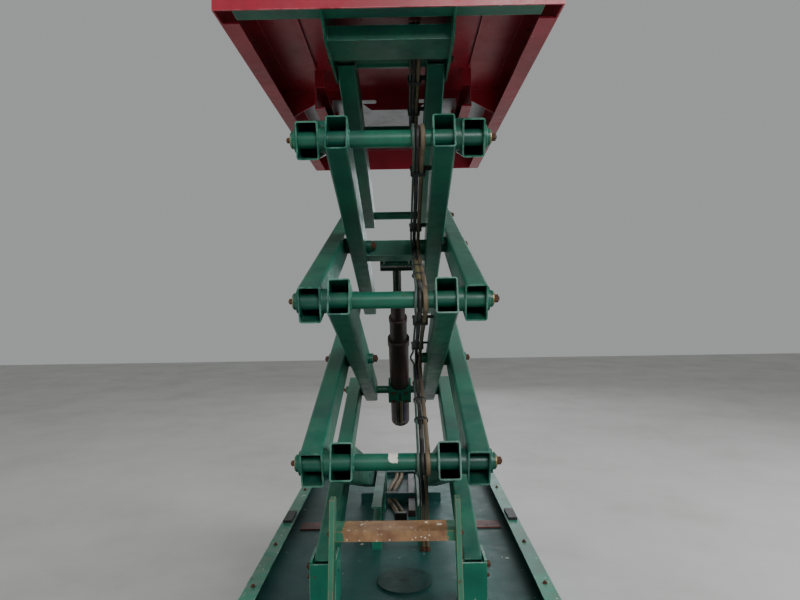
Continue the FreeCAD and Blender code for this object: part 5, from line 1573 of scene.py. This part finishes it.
@dataclass
class ChassisFittings:
    """Door latches and hinges, rail and bracket bolts, and the hoses that lie on the tray."""

    shop: PaintShop
    linkage: Linkage
    door_face: float = 580 * MM
    doors_mm: tuple[tuple[float, float], ...] = ((-662, -294), (-286, 82), (90, 462))
    latch_height: float = 329 * MM
    latch: tuple[Turned, Turned] = (Turned(15, 2, 28, 0.6), Turned(9, 1.5, 20, 0.5, start=2))
    hinge_height: float = 209 * MM
    hinge_shares: tuple[float, float] = (0.18, 0.82)
    hinge: Turned = Turned(4, 44, 16, start=-22)
    pin_head: float = 333 * MM
    pin_flats: float = 24 * MM
    keeper_face: float = 327 * MM
    keepers_mm: tuple[tuple[float, float], ...] = ((-775, 420), (-775, 520), (-660, 420))
    keeper_flats: float = 14 * MM
    rail_x: float = 556 * MM
    rail_bolt_start: float = -1130 * MM
    rail_bolt_pitch: float = 400 * MM
    rail_bolt_count: int = 6
    rail_bolt_flats: float = 11 * MM
    tray_top: float = 386 * MM
    tray_hose_radius: float = 13 * MM
    tray_hose_shift: float = 15 * MM
    tray_course_mm: tuple[Triple, ...] = (
        (-14, 1010, 13.2), (-14, 960, 13.2), (-20, 880, 13.2), (-62, 640, 13.2), (-58, 480, 13.2),
        (-10, 300, 13.2), (2, 210, 13.2), (2, 176, 30), (2, 160, 30))
    # each clip by its sides, its ends and its height, and the duct in the same way
    clips_mm: tuple[tuple[float, float, float, float, float], ...] = (
        (-96, -24, 560, 584, 30), (-30, 34, 138, 166, 52), (-46, 18, 1000, 1030, 29))
    duct_mm: tuple[float, float, float, float, float] = (42, 82, 230, 940, 34)
    clip_edge: float = 3 * MM
    stile_face: float = 197.5 * MM
    step_bolts_mm: tuple[tuple[float, float], ...] = ((-1300, 285), (-1290, 535), (-1183, 832), (-1300, 420))
    step_bolt_flats: float = 13 * MM

    def build(self) -> None:
        """Build the fittings on the chassis."""
        self.door_fittings()
        self.bracket_bolts()
        self.rail_bolts()
        self.tray_hoses()
        self.tray_clips()
        self.ladder_bolts()

    def door_fittings(self) -> None:
        """A quarter-turn latch and two hinges on each housing door."""
        latches, hinges = Bench(), Bench()
        for _, side in SIDES:
            face = ACROSS * side * self.door_face
            for start, stop in self.doors_mm:
                for part in self.latch:
                    middle = ALONG * (start + stop) / 2 * MM
                    part.stand(latches, face + middle + UP * self.latch_height, ACROSS * side)
                for share in self.hinge_shares:
                    middle = ALONG * (start + (stop - start) * share) * MM
                    self.hinge.stand(hinges, face + middle + UP * self.hinge_height, ALONG)
        self.shop.fit(latches.piece("door_latches"), Finish.ZINC, "chassis")
        self.shop.fit(hinges.piece("door_hinges"), Finish.BLACK, "chassis")

    def bracket_bolts(self) -> None:
        """The pin heads and keeper bolts of the brackets at the chassis pivots."""
        pivot, bolts = self.linkage.near(0), Bench()
        for _, side in SIDES:
            out = ACROSS * side
            bolts.bolt(pivot + out * self.pin_head, out, self.pin_flats)
            for y, z in self.keepers_mm:
                bolts.bolt(at_mm(0, y, z) + out * self.keeper_face, out, self.keeper_flats)
        self.shop.fit(bolts.piece("bracket_bolts"), Finish.RUSTY, "chassis")

    def rail_bolts(self) -> None:
        """Bolts along the rails' upper flanges."""
        bolts = Bench()
        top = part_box("chassis_rails")[1].z
        for _, side in SIDES:
            for index in range(self.rail_bolt_count):
                y = self.rail_bolt_start + self.rail_bolt_pitch * index
                bolts.bolt(Vector((side * self.rail_x, y, top)), UP, self.rail_bolt_flats)
        self.shop.fit(bolts.piece("rail_bolts"), Finish.RUSTY, "chassis")

    def tray_hoses(self) -> None:
        """Two dusty hoses side by side along the tray."""
        for index, side in enumerate((-1, 1)):
            shift = ACROSS * side * self.tray_hose_shift + UP * self.tray_top
            points = [at_mm(*at) + shift for at in self.tray_course_mm]
            self.shop.fit(smooth_tube("tray_hose_%d" % index, points, self.tray_hose_radius), Finish.OLD_HOSE,
                          "chassis")

    def tray_clips(self) -> None:
        """The clips over the tray's hoses, and the covered duct beside them."""
        clips, duct = Bench(), Bench()
        for bench, boxes in ((clips, self.clips_mm), (duct, (self.duct_mm,))):
            for left, right, near, far, height in boxes:
                bench.block(at_mm(left, near, 0) + UP * self.tray_top,
                            at_mm(right, far, height) + UP * self.tray_top, self.clip_edge)
        self.shop.fit(clips.piece("tray_hose_clips"), Finish.BLACK, "chassis")
        self.shop.fit(duct.piece("tray_duct"), Finish.DUCT, "chassis")

    def ladder_bolts(self) -> None:
        """Bolts through the ladder's stiles into each step."""
        bolts = Bench()
        for _, side in SIDES:
            out = ACROSS * side
            for y, z in self.step_bolts_mm:
                bolts.bolt(at_mm(0, y, z) + out * self.stile_face, out, self.step_bolt_flats)
        self.shop.fit(bolts.piece("ladder_bolts"), Finish.RUSTY, "chassis")


@dataclass
class PlatformFittings:
    """Bolts and welds of the platform, its rails' feet, the gate's latch and the control panel."""

    shop: PaintShop
    linkage: Linkage
    hanger_face: float = 235 * MM
    hanger_flats: float = 26 * MM
    rail_x: float = 566 * MM
    end_posts: tuple[float, float] = (-1031 * MM, 738 * MM)
    middle_posts: tuple[float, float] = (-450 * MM, 100 * MM)
    end_weld: float = 19 * MM
    middle_weld: float = 16 * MM
    weld_bead: float = 4 * MM
    weld_lift: float = 2 * MM
    # the gate's latch, from the corner of its free side: the case, the bolt across and the knob's parts
    latch_above: float = 180 * MM
    latch_case_mm: tuple[Triple, Triple] = ((-34, -6, -30), (4, 2, 30))
    latch_bolt_mm: Triple = (-10, -2, 0)
    latch_bolt: Turned = Turned(6, 44, 16)
    knob_mm: Triple = (-24, -6, 0)
    knob: tuple[Turned, Turned] = (Turned(5, 20, 16), Turned(13, 16, 24, 4, start=16))
    rivet_x: float = 533 * MM
    rivet_start: float = -980 * MM
    rivet_pitch: float = 130 * MM
    rivet_count: int = 9
    rivet: Turned = Turned(6, 2.5, 14, 1.2, 4)
    # the control box's face, where each fitting's place is a share of its slope and of its length
    panel_slope: tuple[float, float] = (60 * MM, 70 * MM)
    lever_at: tuple[float, float] = (0.5, 0.25)
    lever_plate: Turned = Turned(30, 3, 32)
    lever_boot: tuple[Turned, Turned] = (Turned(24, 14, 28, 2, 14, 3), Turned(15, 8, 28, 2, 9, 17))
    lever_rod: Turned = Turned(6, 34, 16, start=24)
    lever_grip: Turned = Turned(13, 26, 24, 5, 11, 56)
    stop_at: tuple[float, float] = (0.5, 0.55)
    stop_button: tuple[Turned, Turned] = (Turned(9, 12), Turned(20, 11, 32, 4, start=12))
    switch_shares: tuple[tuple[float, float], ...] = ((0.3, 0.7), (0.74, 0.88))
    switch_collar: Turned = Turned(9, 3, 6)
    switch_lean: float = 0.3
    toggle: Turned = Turned(3, 16, 12, 0.6, 4)
    gland_above: float = 60 * MM
    gland: Turned = Turned(12, 14, 6)
    cable_radius: float = 6 * MM
    cable_inside: float = 26 * MM
    cable_top: float = 3300 * MM
    cable_drops: tuple[float, float] = (3000 * MM, 2780 * MM)
    cable_end: float = 4 * MM

    def build(self) -> None:
        """Build the fittings on the platform."""
        self.hanger_fittings()
        self.rail_feet()
        self.gate_latch()
        self.deck_rivets()
        self.control_panel()

    def hanger_fittings(self) -> None:
        """Bolts in the ends of the hanger plates' pins."""
        pivot, body = self.linkage.near(Linkage.STAGES), Linkage.inner(Linkage.STAGES)
        pins = Bench()
        for _, side in SIDES:
            pins.bolt(pivot + ACROSS * side * self.hanger_face, ACROSS * side, self.hanger_flats)
        self.shop.fit(pins.piece("hanger_pin_bolts"), Finish.RUSTY, body)

    def rail_feet(self) -> None:
        """Weld beads at the feet of the guardrails' posts."""
        welds = Bench()
        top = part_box("platform_frame")[1].z + self.weld_lift
        for _, side in SIDES:
            for posts, radius in ((self.end_posts, self.end_weld), (self.middle_posts, self.middle_weld)):
                for y in posts:
                    welds.ring(Vector((side * self.rail_x, y, top)), UP, radius, self.weld_bead, 28, 0.15)
        self.shop.fit(welds.piece("guardrail_welds"), Finish.RED_RAIL, "platform")

    def gate_latch(self) -> None:
        """The latch on the gate's free side, with its bolt and its pull knob."""
        latch, knob = Bench(), Bench()
        low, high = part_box("gate")
        corner = Vector((high.x, low.y, (low.z + high.z) / 2 + self.latch_above))
        latch.block(*(corner + at_mm(*end) for end in self.latch_case_mm))
        self.latch_bolt.stand(latch, corner + at_mm(*self.latch_bolt_mm), ACROSS)
        for part in self.knob:
            part.stand(knob, corner + at_mm(*self.knob_mm), -ALONG)
        self.shop.fit(latch.piece("gate_latch"), Finish.BLACK, "gate")
        self.shop.fit(knob.piece("gate_knob"), Finish.PLASTIC, "gate")

    def deck_rivets(self) -> None:
        """Rivets along both edges of the near deck sheet."""
        rivets = Bench()
        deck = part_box("deck_sheet")[1].z
        for _, side in SIDES:
            for index in range(self.rivet_count):
                y = self.rivet_start + self.rivet_pitch * index
                self.rivet.stand(rivets, Vector((side * self.rivet_x, y, deck)), UP)
        self.shop.fit(rivets.piece("deck_rivets"), Finish.ZINC, "platform")

    def control_panel(self) -> None:
        """The lever, the stop button and the switches on the control box's sloping face, and its cable."""
        low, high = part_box("control_box")
        # the face slopes down from the lid to the edge that looks into the platform
        lid_in, drop = self.panel_slope
        slope = Vector((low.x, 0.0, high.z - drop)) - Vector((high.x - lid_in, 0.0, high.z))
        way = slope.normalized()
        out = Vector((way.z, 0.0, -way.x))

        def spot(share: float, y_share: float) -> Vector:
            """A place on the face, as shares of its slope and of its length."""
            top = Vector((high.x - lid_in, low.y + (high.y - low.y) * y_share, high.z))
            return top + slope * share

        plate, boots, levers, red = Bench(), Bench(), Bench(), Bench()
        for bench, parts in ((plate, (self.lever_plate,)), (boots, (*self.lever_boot, self.lever_grip)),
                             (levers, (self.lever_rod,))):
            for part in parts:
                part.stand(bench, spot(*self.lever_at), out)
        for part in self.stop_button:
            part.stand(red, spot(*self.stop_at), out)
        shares, y_shares = self.switch_shares
        for at in (spot(share, y_share) for share in shares for y_share in y_shares):
            self.switch_collar.stand(plate, at, out)
            self.toggle.stand(levers, at + out * self.switch_collar.height * MM,
                              (out + way * self.switch_lean).normalized())
        gland = Vector(((low.x + high.x) / 2, high.y, low.z + self.gland_above))
        self.gland.stand(plate, gland, ALONG)
        self.shop.fit(plate.piece("control_collars"), Finish.GREY_PLASTIC, "platform")
        self.shop.fit(boots.piece("control_boots"), Finish.PLASTIC, "platform")
        self.shop.fit(levers.piece("control_levers"), Finish.ROD, "platform")
        self.shop.fit(red.piece("control_stop_button"), Finish.RED_KNOB, "platform")
        self.control_cable(gland)

    def control_cable(self, gland: Vector) -> None:
        """The cable from the control box down a middle post and through the deck.

        Args:
            gland: where it leaves the box.
        """
        x, post_y = self.rail_x - self.cable_inside, self.middle_posts[0]
        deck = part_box("deck_sheet")[1].z
        points = [gland, gland + ALONG * 60 * MM, Vector((x, gland.y + 90 * MM, gland.z - 60 * MM)),
                  Vector((x, gland.y + 150 * MM, self.cable_top)),
                  *(Vector((x, post_y, z)) for z in (*self.cable_drops, deck + self.cable_end))]
        self.shop.fit(smooth_tube("control_cable", points, self.cable_radius), Finish.HOSE, "platform")


def main() -> None:
    """Load the lift, dress it, add its fittings and set up the studio."""
    logging.basicConfig(level=logging.INFO, format="%(message)s")
    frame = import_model()
    CameraStand().build()
    Studio().build()
    shop = PaintShop()
    shop.dress_nodes(frame["nodes"])
    linkage = Linkage(frame["joints"])
    HoseBundle(shop, linkage).build()
    PivotFittings(shop, linkage).build()
    CylinderPlumbing(shop, linkage).build()
    WheelFittings(shop).build()
    ChassisFittings(shop, linkage).build()
    PlatformFittings(shop, linkage).build()


if __name__ == "__main__":
    main()
